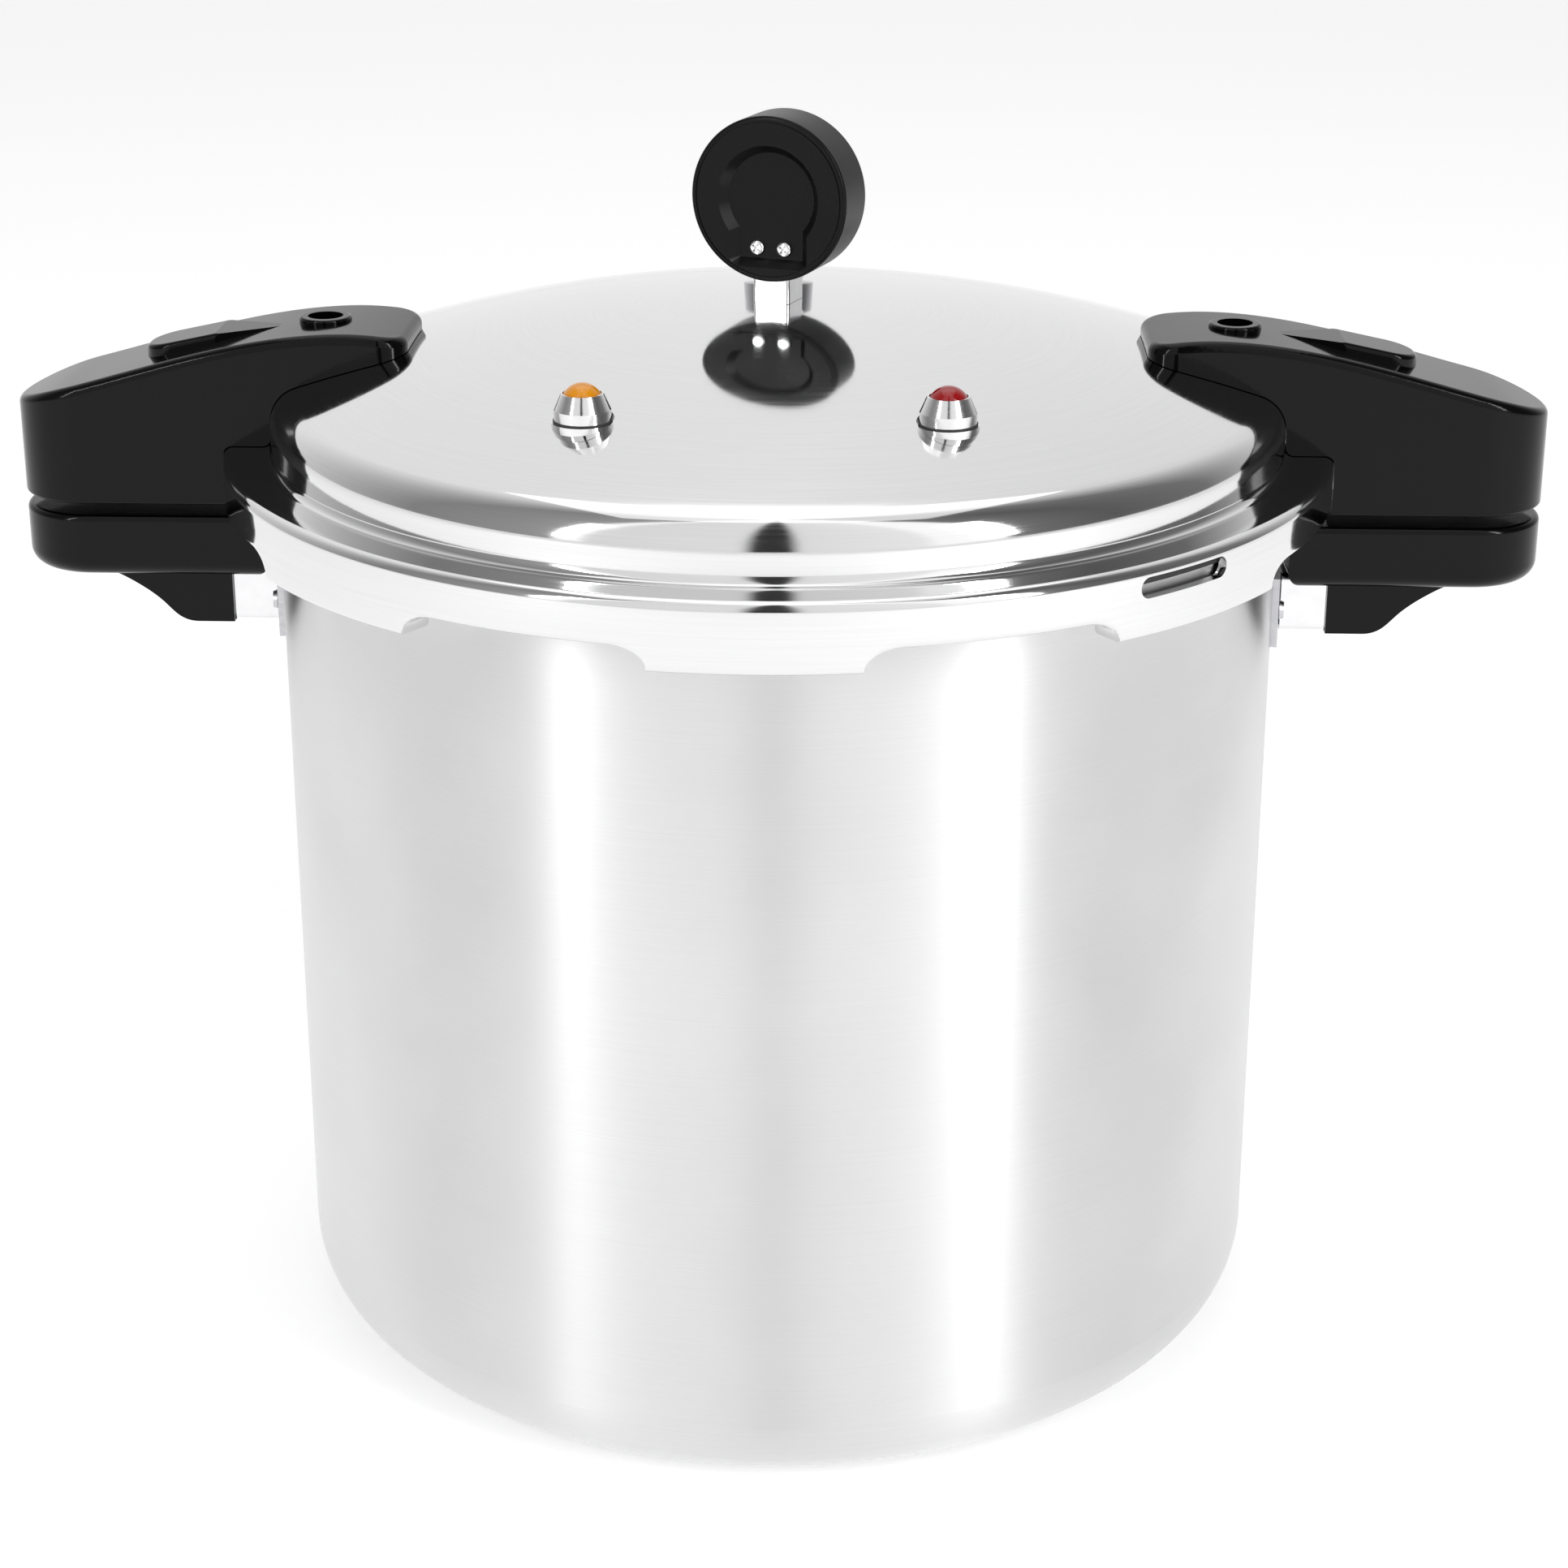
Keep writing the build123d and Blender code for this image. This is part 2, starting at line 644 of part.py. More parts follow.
spring_low = clip_low + clip_thickness + 0.35
spring_high = bush_low - 0.35
spring_wire = 0.35
spring_turns = 3.5
dome_height = 3.6
dome_radius = (plunger_radius**2 + dome_height**2) / (2 * dome_height)
for colour, place in zip(("amber", "red"), valve_places):
    with BuildPart() as plunger:
        with BuildSketch(Plane(origin=(place[0], place[1], 0), z_dir=(0, -1, 0), x_dir=(1, 0, 0))):
            with BuildLine():
                cap_low = thread_top + 0.3
                cap_edge = nut_low + nut_tall - 0.6
                Polyline(
                    (0, cap_edge + dome_height),
                    (0, clip_low),
                    (plunger_stem, clip_low),
                    (plunger_stem, cap_low),
                    (plunger_radius, cap_low),
                    (plunger_radius, cap_edge),
                )
                dome_centre = cap_edge + dome_height - dome_radius
                dome_slope = degrees(atan2(dome_radius - dome_height, plunger_radius))
                CenterArc((0, dome_centre), dome_radius, dome_slope, 90.0 - dome_slope)
            make_face()
        revolve(axis=Axis((place[0], place[1], 0), (0, 0, 1)))
    save(plunger, colour + "_plunger")
    save(rings(4.2, plunger_stem, clip_low, clip_low + clip_thickness, [place]), colour + "_clip")
    with BuildPart() as spring:
        coil_radius = plunger_stem + 0.9
        coil_height = spring_high - spring_low - 2 * spring_wire
        with BuildLine():
            coil = Helix(
                pitch=coil_height / spring_turns,
                height=coil_height,
                radius=coil_radius,
                center=(place[0], place[1], spring_low + spring_wire),
            )
        with BuildSketch(Plane(origin=coil @ 0, z_dir=coil % 0)):
            Circle(spring_wire)
        sweep()
    save(spring, colour + "_spring")

# ---------------------------------------------------------------- gauge

gauge_z = crown_top + gauge_rise + gauge_radius
turn = radians(gauge_turn)
gauge_plane = Plane(
    origin=(0, 0, gauge_z),
    x_dir=(-cos(turn), sin(turn), 0),
    z_dir=(sin(turn), cos(turn), 0),
)
gauge_axis = Axis((0, 0, gauge_z), (sin(turn), cos(turn), 0))
stem_plane = Plane(origin=(0, 0, crown_top), x_dir=(cos(turn), -sin(turn), 0), z_dir=(0, 0, 1))
gusset_plane = Plane(
    origin=(0, 0, crown_top),
    x_dir=(sin(turn), cos(turn), 0),
    z_dir=(cos(turn), -sin(turn), 0),
)
gauge_back = -gauge_depth / 2
bezel_back = gauge_depth / 2 - bezel_depth
socket_top = -12.6
socket_depth = 6.8
recess_floor = gauge_back + recess_depth
screw_spread = 4.65
screw_drop = 16.1

with BuildPart() as gauge_stem:
    with BuildSketch(stem_plane):
        RectangleRounded(stem_width, stem_width, 1.0)
    extrude(amount=gauge_rise + gauge_wall)
    with BuildSketch(gauge_plane.offset(recess_floor + gauge_wall + 0.2)):
        with Locations((0, -gauge_radius + (gauge_radius + socket_top) / 2)):
            Rectangle(stem_width, gauge_radius + socket_top)
    extrude(amount=socket_depth)
    with BuildSketch(gusset_plane):
        with BuildLine():
            Polyline(
                (stem_width / 2 - 0.5, gauge_rise / 2 - 1.0),
                (stem_width / 2 + 3.5, gauge_rise - 0.4),
                (stem_width / 2 - 0.5, gauge_rise - 0.4),
                close=True,
            )
        make_face()
    extrude(amount=stem_width / 2 - 1.0, both=True)
    with BuildSketch(Plane.XY.offset(crown_top - 13.0)):
        Circle(stem_shank)
    extrude(amount=13.5)
    with BuildSketch(gauge_plane.offset(recess_floor)):
        with Locations((-screw_spread, -screw_drop), (screw_spread, -screw_drop)):
            Circle(1.25)
    extrude(amount=7.0, mode=Mode.SUBTRACT)
    with BuildSketch(Plane.XY.offset(crown_top - 14.0)):
        Circle(1.5)
    extrude(amount=20.0, mode=Mode.SUBTRACT)
save(gauge_stem, "gauge_stem")

inner_crown = crown_top - lid_thickness
save(rings(8.5, stem_shank + fit_gap, inner_crown - 1.4, inner_crown - 0.25, [(0, 0)]), "gauge_gasket")
save(hex_nuts(15.0, stem_shank, inner_crown - 7.0, inner_crown - 1.4, [(0, 0)]), "gauge_nut")


def keyhole(radius, half_width, drop):
    """Round panel with a rounded tab below, drawn into the current sketch."""
    Circle(radius)
    with Locations((0, -drop / 2)):
        RectangleRounded(2 * half_width, drop, 3.0)


with BuildPart() as gauge_case:
    with BuildSketch(gauge_plane.offset(gauge_back)):
        Circle(gauge_radius)
    extrude(amount=bezel_back - gauge_back)
    back_rim = gauge_case.faces().sort_by(gauge_axis)[0].edges()
    fillet(back_rim, 1.1)
    with BuildSketch(gauge_plane.offset(gauge_back + gauge_wall)):
        Circle(gauge_radius - gauge_wall)
    extrude(amount=gauge_depth, mode=Mode.SUBTRACT)
    with BuildSketch(gauge_plane.offset(gauge_back + 0.3)):
        keyhole(18.4, 14.6, 23.0)
    extrude(amount=recess_depth + gauge_wall - 0.3)
    with BuildSketch(gauge_plane.offset(gauge_back - 0.2)):
        keyhole(17.3, 13.5, 22.2)
    extrude(amount=recess_depth + 0.2, taper=40, mode=Mode.SUBTRACT)
    with BuildSketch(gauge_plane.offset(gauge_back)):
        Circle(gauge_radius - 1.6)
        Circle(gauge_radius - 2.1, mode=Mode.SUBTRACT)
    extrude(amount=0.4, mode=Mode.SUBTRACT)
    with BuildSketch(gauge_plane.offset(gauge_back)):
        with Locations((-screw_spread, -screw_drop), (screw_spread, -screw_drop)):
            Circle(1.45)
    extrude(amount=recess_depth + 3.0, mode=Mode.SUBTRACT)
    with BuildSketch(stem_plane.offset(gauge_rise - 4.0)):
        Rectangle(stem_width + 2 * fit_gap, stem_width + 2 * fit_gap)
    extrude(amount=8.4, mode=Mode.SUBTRACT)
save(gauge_case, "gauge_case")

with BuildPart() as case_screws:
    with BuildSketch(gauge_plane.offset(recess_floor - 0.5)):
        with Locations((-screw_spread, -screw_drop), (screw_spread, -screw_drop)):
            Circle(1.2)
    extrude(amount=6.5)
    with BuildSketch(gauge_plane.offset(recess_floor - 1.5)):
        with Locations((-screw_spread, -screw_drop), (screw_spread, -screw_drop)):
            Circle(2.5)
    extrude(amount=1.5)
    for screw_head in case_screws.faces().sort_by(gauge_axis)[:2]:
        fillet(screw_head.edges(), 0.9)
    with BuildSketch(gauge_plane.offset(recess_floor - 1.8)):
        with Locations((-screw_spread, -screw_drop), (screw_spread, -screw_drop)):
            Rectangle(3.0, 0.7, rotation=35)
            Rectangle(0.7, 3.0, rotation=35)
    extrude(amount=1.2, mode=Mode.SUBTRACT)
save(case_screws, "case_screws")

bezel_front = gauge_depth / 2
lens_radius = gauge_radius - gauge_wall
with BuildPart() as gauge_bezel:
    with BuildSketch(gauge_plane.offset(bezel_back)):
        Circle(gauge_radius)
        Circle(lens_radius + fit_gap, mode=Mode.SUBTRACT)
    extrude(amount=bezel_depth)
    with BuildSketch(gauge_plane.offset(bezel_front - 0.8)):
        Circle(gauge_radius)
        Circle(gauge_radius - 3.0, mode=Mode.SUBTRACT)
    extrude(amount=0.8)
save(gauge_bezel, "gauge_bezel")

lens_thickness = 1.5
with BuildPart() as gauge_lens:
    with BuildSketch(gauge_plane.offset(bezel_front - 0.8 - lens_thickness)):
        Circle(lens_radius)
    extrude(amount=lens_thickness)
save(gauge_lens, "gauge_lens")

dial_front = bezel_back - 2.2
dial_thickness = 0.6
with BuildPart() as dial_plate:
    with BuildSketch(gauge_plane.offset(dial_front - dial_thickness)):
        Circle(gauge_radius - gauge_wall - fit_gap)
        Circle(1.6, mode=Mode.SUBTRACT)
    extrude(amount=dial_thickness)
save(dial_plate, "dial_plate")

# Movement: two plates on the stem's socket, the toothed wheels between them, and the curved tube.
plate_thickness = 0.8
plate_low = -1.6
plate_high = dial_front - dial_thickness - plate_thickness
pivot_place = (-sector_pivot_reach, -sector_pivot_reach)
shaft_radius = 0.8
pivot_radius = 1.0
with BuildPart() as movement_plates:
    for level in (plate_low, plate_high):
        with BuildSketch(gauge_plane.offset(level)):
            Circle(9.0)
            with Locations((0, -7.0)):
                Rectangle(12.0, 11.0)
            with Locations(pivot_place):
                Circle(3.0)
                Circle(pivot_radius + running_gap, mode=Mode.SUBTRACT)
            Circle(shaft_radius + running_gap, mode=Mode.SUBTRACT)
        extrude(amount=plate_thickness)
save(movement_plates, "movement_plates")

with BuildPart() as pinion:
    with BuildSketch(gauge_plane.offset(plate_low + plate_thickness + 0.2)):
        Circle(pinion_radius - 0.2)
    extrude(amount=plate_high - plate_low - plate_thickness - 0.4)
    with BuildSketch(gauge_plane.offset(plate_low)):
        Circle(shaft_radius)
    extrude(amount=dial_front + 1.6 - plate_low)
save(pinion, "pinion")

pointer_length = 19.0
pointer_tail = 7.0
pointer_rest = radians(216.0)
along = Vector(cos(pointer_rest), sin(pointer_rest))
across = Vector(-sin(pointer_rest), cos(pointer_rest))
with BuildPart() as pointer:
    with BuildSketch(gauge_plane.offset(dial_front + 0.5)):
        with BuildLine():
            Polyline(
                along * pointer_length + across * 0.25,
                along * -pointer_tail + across,
                along * -pointer_tail - across,
                along * pointer_length - across * 0.25,
                close=True,
            )
        make_face()
        Circle(2.2)
        Circle(shaft_radius, mode=Mode.SUBTRACT)
    extrude(amount=0.5)
save(pointer, "pointer")

sector_start = -5.0
sector_sweep = 55.0
with BuildPart() as sector_gear:
    reach = sqrt(pivot_place[0] ** 2 + pivot_place[1] ** 2)
    with BuildSketch(gauge_plane.offset(plate_low + plate_thickness + 0.3)):
        with BuildLine():
            rim = CenterArc(pivot_place, reach - pinion_radius - 0.1, sector_start, sector_sweep)
            Polyline(rim @ 1, pivot_place, rim @ 0)
        make_face()
        with Locations(pivot_place):
            Circle(2.4)
    extrude(amount=1.0)
    with BuildSketch(gauge_plane.offset(plate_low)):
        with Locations(pivot_place):
            Circle(pivot_radius)
    extrude(amount=plate_high - plate_low + plate_thickness)
save(sector_gear, "sector_gear")

tube_radius = 19.5
tube_half_height = 2.2
tube_half_width = 1.3
tube_sweep = 250.0
with BuildPart() as bourdon_tube:
    tube_centre = (plate_low + plate_high + plate_thickness) / 2
    with BuildLine(gauge_plane.offset(tube_centre)):
        tube_path = CenterArc((0, 0), tube_radius, -69.0, tube_sweep)
    with BuildSketch(Plane(origin=tube_path @ 0, x_dir=gauge_plane.z_dir, z_dir=tube_path % 0)):
        Ellipse(tube_half_height, tube_half_width)
    sweep()
save(bourdon_tube, "bourdon_tube")

# ---------------------------------------------------------------- vent pipe and regulator

pipe_flange = 4.0
save(rings(7.2, vent_radius + fit_gap, vent_seat, vent_seat + 0.6, [vent_place]), "vent_seal")
with BuildPart() as vent_pipe:
    with BuildSketch(Plane.XY.offset(vent_seat + 0.6)):
        with Locations(vent_place):
            RegularPolygon(6.5, 6, major_radius=False)
    extrude(amount=pipe_flange)
    with BuildSketch(Plane.XY.offset(vent_seat - 13.0)):
        with Locations(vent_place):
            Circle(vent_radius)
    extrude(amount=13.0 + vent_length)
    chamfer(vent_pipe.faces().sort_by(Axis.Z)[-1].edges(), 1.5)
    with BuildSketch(Plane.XY.offset(vent_seat - 14.0)):
        with Locations(vent_place):
            Circle(1.3)
    extrude(amount=20.0 + vent_length, mode=Mode.SUBTRACT)
save(vent_pipe, "vent_pipe")
save(hex_nuts(11.0, vent_radius, vent_seat - seat_depth - 5.0, vent_seat - seat_depth, [vent_place]), "vent_nut")

weight_low = vent_seat + 0.6 + pipe_flange + seal_gap
with BuildPart() as regulator_weight:
    with BuildSketch(Plane.XY.offset(weight_low)):
        with Locations(vent_place):
            Circle(weight_radius)
    extrude(amount=weight_height)
    fillet(regulator_weight.faces().sort_by(Axis.Z)[-1].edges(), 2.0)
    with BuildSketch(Plane.XY.offset(weight_low + weight_height - 1.0)):
        with Locations(vent_place):
            Circle(5.0)
    extrude(amount=6.0)
    fillet(regulator_weight.faces().sort_by(Axis.Z)[-1].edges(), 1.5)
    with BuildSketch(Plane.XY.offset(weight_low - 1.0)):
        with Locations(vent_place):
            Circle(vent_radius + 0.3)
    extrude(amount=vent_length - pipe_flange + 1.0, mode=Mode.SUBTRACT)
save(regulator_weight, "regulator_weight")
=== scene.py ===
from math import atan2, cos, pi, radians, sin, sqrt

import bmesh
import bpy
from mathutils import Matrix, Vector


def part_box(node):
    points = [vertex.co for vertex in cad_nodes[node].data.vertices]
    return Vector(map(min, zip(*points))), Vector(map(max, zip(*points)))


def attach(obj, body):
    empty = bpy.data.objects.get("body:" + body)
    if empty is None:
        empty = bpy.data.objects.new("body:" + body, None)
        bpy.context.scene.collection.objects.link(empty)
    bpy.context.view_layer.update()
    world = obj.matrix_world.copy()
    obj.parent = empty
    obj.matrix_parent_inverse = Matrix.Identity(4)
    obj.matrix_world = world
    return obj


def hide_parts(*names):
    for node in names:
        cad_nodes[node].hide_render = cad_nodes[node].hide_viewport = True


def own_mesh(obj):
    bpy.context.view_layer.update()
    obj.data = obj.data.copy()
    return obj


bl_info = {
    "name": "Pressure canner",
    "version": (1, 0, 0),
    "blender": (4, 5, 0),
    "location": "3D View > Sidebar > Canner",
    "description": "Detailed pieces, finishes and a studio for a twist-lock pressure canner",
    "category": "Object",
}

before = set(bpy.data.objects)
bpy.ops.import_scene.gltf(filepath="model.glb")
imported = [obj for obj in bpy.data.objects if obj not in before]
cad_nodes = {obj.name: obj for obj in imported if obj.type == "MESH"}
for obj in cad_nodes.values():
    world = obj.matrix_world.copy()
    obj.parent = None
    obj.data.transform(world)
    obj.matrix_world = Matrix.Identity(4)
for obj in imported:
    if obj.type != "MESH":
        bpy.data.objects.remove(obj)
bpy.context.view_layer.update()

MM = 0.001
LID_LOW, LID_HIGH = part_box("lid_shell")
DIAL_LOW, DIAL_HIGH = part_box("dial_plate")


# ---------------------------------------------------------------- sizes and colours

def length(name, description, default):
    """A size in metres."""
    return bpy.props.FloatProperty(
        name=name, description=description, default=default, min=0.0, subtype="DISTANCE", unit="LENGTH",
    )


def share(name, description, default):
    """A number from 0 to 1."""
    return bpy.props.FloatProperty(name=name, description=description, default=default, min=0.0, max=1.0,
                                   subtype="FACTOR")


def tint(name, description, default):
    """A colour without alpha."""
    return bpy.props.FloatVectorProperty(name=name, description=description, default=default, size=3,
                                         min=0.0, max=1.0, subtype="COLOR")


def turn_of(name, description, default):
    """An angle, given in degrees and held in radians."""
    return bpy.props.FloatProperty(name=name, description=description, default=radians(default),
                                   subtype="ANGLE", unit="ROTATION")


class LidSizes(bpy.types.PropertyGroup):
    thickness: length("Sheet", "Thickness of the lid's metal", 3.0 * MM)
    crown_radius: length("Crown radius", "Radius of the domed top", 500.0 * MM)
    shoulder: length("Shoulder", "Radius where the dome turns down to the wall", 12.0 * MM)
    wall: length("Wall radius", "Outer radius of the wall under the shoulder", 164.3 * MM)
    ledge: length("Ledge height", "Height of the flat ledge above the floor", 296.75 * MM)
    ledge_fillet: length("Ledge fillet", "Radius at both sides of the ledge", 3.0 * MM)
    notch_top: length("Notch height", "Height of the notches' upper edge above the floor", 282.5 * MM)
    lip_inner: length("Lip radius", "Inner radius of the locking lips", 168.3 * MM)
    lip_thickness: length("Lip thickness", "Height of the locking lips", 6.5 * MM)
    edge: length("Rolled edge", "Rounding along the skirt's lower edge", 1.4 * MM)
    notch_run: turn_of("Notch run", "Turn over which the skirt's edge rises from lug to notch", 3.8)
    window_length: length("Window length", "Length of the slot in the skirt", 36.0 * MM)
    window_height: length("Window height", "Height of the slot in the skirt", 6.4 * MM)
    window_turn: turn_of("Window place", "Where the slot lies round the lid", -47.25)


class ValveSizes(bpy.types.PropertyGroup):
    coil: length("Coil radius", "Radius of the spring's coil to the middle of its wire", 3.1 * MM)
    wire: length("Wire radius", "Radius of the spring's wire", 0.35 * MM)
    turns: bpy.props.FloatProperty(name="Turns", description="Turns in the spring's coil",
                                   default=3.5, min=1.0)
    shortened: share("Shortened", "Share of the spring's height left when the plunger is fully up", 0.49)


class Finishes(bpy.types.PropertyGroup):
    aluminium: tint("Aluminium", "Pot and lid metal", (0.80, 0.80, 0.805))
    rack_aluminium: tint("Rack aluminium", "Mill-finish rack metal", (0.66, 0.66, 0.67))
    chrome: tint("Chrome", "Plated fittings", (0.83, 0.83, 0.84))
    steel: tint("Steel", "Zinc-plated fastenings", (0.58, 0.58, 0.60))
    phenolic: tint("Phenolic", "Moulded black handles", (0.0015, 0.0015, 0.0018))
    enamel: tint("Black enamel", "Gauge case", (0.004, 0.004, 0.0045))
    amber: tint("Amber", "Left safety valve", (0.72, 0.27, 0.003))
    red: tint("Red", "Right safety valve", (0.30, 0.002, 0.004))
    rubber: tint("Rubber", "Seals and gaskets", (0.022, 0.022, 0.022))
    brass: tint("Brass", "Gauge movement", (0.70, 0.50, 0.20))
    dial: tint("Dial", "Dial face", (0.86, 0.86, 0.84))
    marking: tint("Marking", "Figures, ticks and pointer", (0.015, 0.015, 0.016))
    wall_roughness: share("Wall roughness", "Roughness of the brushed wall", 0.36)
    crown_roughness: share("Crown roughness", "Roughness of the polished crown", 0.07)


class StudioSizes(bpy.types.PropertyGroup):
    floor_size: length("Floor", "Width of the floor", 14.0)
    camera_back: length("Camera back", "Distance of the camera in front of the pot's centre", 0.9703)
    camera_side: length("Camera side", "Distance of the camera to the right of the pot's centre", 0.0358)
    camera_height: length("Camera height", "Height of the camera above the floor", 0.557)
    camera_tilt: turn_of("Camera tilt", "Tilt of the camera up from straight down", 70.8)
    camera_turn: turn_of("Camera turn", "Turn of the camera about the vertical", 2.0)
    lens: bpy.props.FloatProperty(name="Lens", description="Focal length of the camera in millimetres",
                                  default=70.12, min=10.0, unit="CAMERA")
    shift: bpy.props.FloatProperty(name="Shift", description="Upward shift of the frame, in frame widths",
                                   default=-0.0813)
    floor_colour: tint("Floor colour", "Colour of the floor", (0.93, 0.93, 0.93))
    floor_glow: share("Floor glow", "Light given off by the floor, as a backlit sheet does", 0.30)


# ---------------------------------------------------------------- shader building

NOISE_RANGE = (0.3, 0.7)
# Drift of the turned lines for each radian round the piece.
LINE_DRIFT = 2.5
# Turns the brushing from across the tangent to along it, in shares of a turn.
BRUSH_TURN = 0.25


def surface(name):
    """A new material with one shader, and a function that adds further nodes."""
    material = bpy.data.materials.new(name)
    material.use_nodes = True
    tree = material.node_tree
    shader = tree.nodes["Principled BSDF"]

    def node(kind, **settings):
        made = tree.nodes.new(kind)
        for key, value in settings.items():
            if key in made.inputs:
                made.inputs[key].default_value = value
            else:
                setattr(made, key, value)
        return made

    return material, shader, node, tree.links.new


def round_coordinates(node, link, pitch, drift):
    """Coordinates that change fast along a turned piece's radius and height and slowly round it."""
    place = node("ShaderNodeTexCoord")
    split = node("ShaderNodeSeparateXYZ")
    link(place.outputs["Object"], split.inputs[0])
    flat = node("ShaderNodeCombineXYZ")
    link(split.outputs["X"], flat.inputs["X"])
    link(split.outputs["Y"], flat.inputs["Y"])
    radius = node("ShaderNodeVectorMath", operation="LENGTH")
    link(flat.outputs[0], radius.inputs[0])
    angle = node("ShaderNodeMath", operation="ARCTAN2")
    link(split.outputs["Y"], angle.inputs[0])
    link(split.outputs["X"], angle.inputs[1])
    joined = node("ShaderNodeCombineXYZ")
    link(radius.outputs["Value"], joined.inputs["X"])
    link(split.outputs["Z"], joined.inputs["Y"])
    link(angle.outputs[0], joined.inputs["Z"])
    spread = node("ShaderNodeVectorMath", operation="MULTIPLY")
    spread.inputs[1].default_value = (1.0 / pitch, 1.0 / pitch, drift)
    link(joined.outputs[0], spread.inputs[0])
    return spread.outputs[0]


def object_coordinates(node, link, scale=(1.0, 1.0, 1.0)):
    """The piece's own coordinates, stretched by scale."""
    place = node("ShaderNodeTexCoord")
    mapping = node("ShaderNodeMapping")
    mapping.inputs["Scale"].default_value = scale
    link(place.outputs["Object"], mapping.inputs["Vector"])
    return mapping.outputs[0]


def spread_of(node, link, source, low, high):
    """Noise, which seldom leaves its middle range, spread between low and high."""
    span = node("ShaderNodeMapRange")
    span.inputs["From Min"].default_value, span.inputs["From Max"].default_value = NOISE_RANGE
    span.inputs["To Min"].default_value = low
    span.inputs["To Max"].default_value = high
    link(source, span.inputs["Value"])
    return span.outputs["Result"]


def shaded(colour, factor):
    """The colour made lighter or darker, with alpha added."""
    return tuple(min(1.0, part * factor) for part in colour) + (1.0,)


def two_tones(node, link, source, colour, low, high):
    """The colour between two shades of itself, as the noise in source says."""
    mix = node("ShaderNodeMix", data_type="RGBA")
    # Inputs 6 and 7 and output 2 are the node's colours.
    mix.inputs[6].default_value = shaded(colour, low)
    mix.inputs[7].default_value = shaded(colour, high)
    link(source, mix.inputs["Factor"])
    return mix.outputs[2]


def turned_metal(name, colour, roughness, anisotropy=0.0, pitch=0.6 * MM, relief=0.004 * MM, blotch=0.05,
                 tones=(0.93, 1.04)):
    """Metal with fine lines round the Z axis and a slight cloudiness."""
    material, shader, node, link = surface(name)
    shader.inputs["Metallic"].default_value = 1.0
    shader.inputs["Anisotropic"].default_value = anisotropy
    lines = node("ShaderNodeTexNoise", Scale=1.0, Detail=4.0, Roughness=0.65)
    link(round_coordinates(node, link, pitch, LINE_DRIFT), lines.inputs["Vector"])
    clouds = node("ShaderNodeTexNoise", Scale=14.0, Detail=3.0)
    link(object_coordinates(node, link), clouds.inputs["Vector"])
    rough_lines = spread_of(node, link, lines.outputs["Fac"], roughness - 0.02, roughness + 0.03)
    rough_clouds = spread_of(node, link, clouds.outputs["Fac"], -blotch / 2, blotch / 2)
    total = node("ShaderNodeMath", operation="ADD", use_clamp=True)
    link(rough_lines, total.inputs[0])
    link(rough_clouds, total.inputs[1])
    link(total.outputs[0], shader.inputs["Roughness"])
    link(two_tones(node, link, lines.outputs["Fac"], colour, *tones), shader.inputs["Base Color"])
    bump = node("ShaderNodeBump", Strength=1.0, Distance=relief)
    link(lines.outputs["Fac"], bump.inputs["Height"])
    link(bump.outputs[0], shader.inputs["Normal"])
    if anisotropy:
        shader.inputs["Anisotropic Rotation"].default_value = BRUSH_TURN
        tangent = node("ShaderNodeTangent", direction_type="RADIAL", axis="Z")
        link(tangent.outputs[0], shader.inputs["Tangent"])
    return material


def plated_metal(name, colour, roughness, grain=180.0, relief=0.006 * MM):
    """Plated or mill-finish metal with a faint orange-peel and fine scratches."""
    material, shader, node, link = surface(name)
    shader.inputs["Metallic"].default_value = 1.0
    peel = node("ShaderNodeTexNoise", Scale=grain, Detail=3.0)
    link(object_coordinates(node, link), peel.inputs["Vector"])
    scratch = node("ShaderNodeTexNoise", Scale=60.0, Detail=6.0, Distortion=1.5)
    link(object_coordinates(node, link, (1.0, 14.0, 3.0)), scratch.inputs["Vector"])
    link(spread_of(node, link, scratch.outputs["Fac"], roughness * 0.75, roughness * 1.5),
         shader.inputs["Roughness"])
    link(two_tones(node, link, peel.outputs["Fac"], colour, 0.9, 1.05), shader.inputs["Base Color"])
    bump = node("ShaderNodeBump", Strength=1.0, Distance=relief)
    link(peel.outputs["Fac"], bump.inputs["Height"])
    link(bump.outputs[0], shader.inputs["Normal"])
    return material


def moulded(name, colour, roughness, grain, relief, coat=0.0, gloss=0.5, tones=(0.8, 1.4)):
    """Moulded plastic, rubber or enamel: fine surface grain with slight changes of tone and gloss."""
    material, shader, node, link = surface(name)
    shader.inputs["Coat Weight"].default_value = coat
    shader.inputs["Specular IOR Level"].default_value = gloss
    shader.inputs["Coat Roughness"].default_value = 0.04
    skin = node("ShaderNodeTexNoise", Scale=grain, Detail=4.0)
    link(object_coordinates(node, link), skin.inputs["Vector"])
    patches = node("ShaderNodeTexNoise", Scale=35.0, Detail=2.0)
    link(object_coordinates(node, link), patches.inputs["Vector"])
    link(spread_of(node, link, patches.outputs["Fac"], roughness * 0.85, roughness * 1.2),
         shader.inputs["Roughness"])
    link(two_tones(node, link, skin.outputs["Fac"], colour, *tones), shader.inputs["Base Color"])
    bump = node("ShaderNodeBump", Strength=1.0, Distance=relief)
    link(skin.outputs["Fac"], bump.inputs["Height"])
    link(bump.outputs[0], shader.inputs["Normal"])
    return material


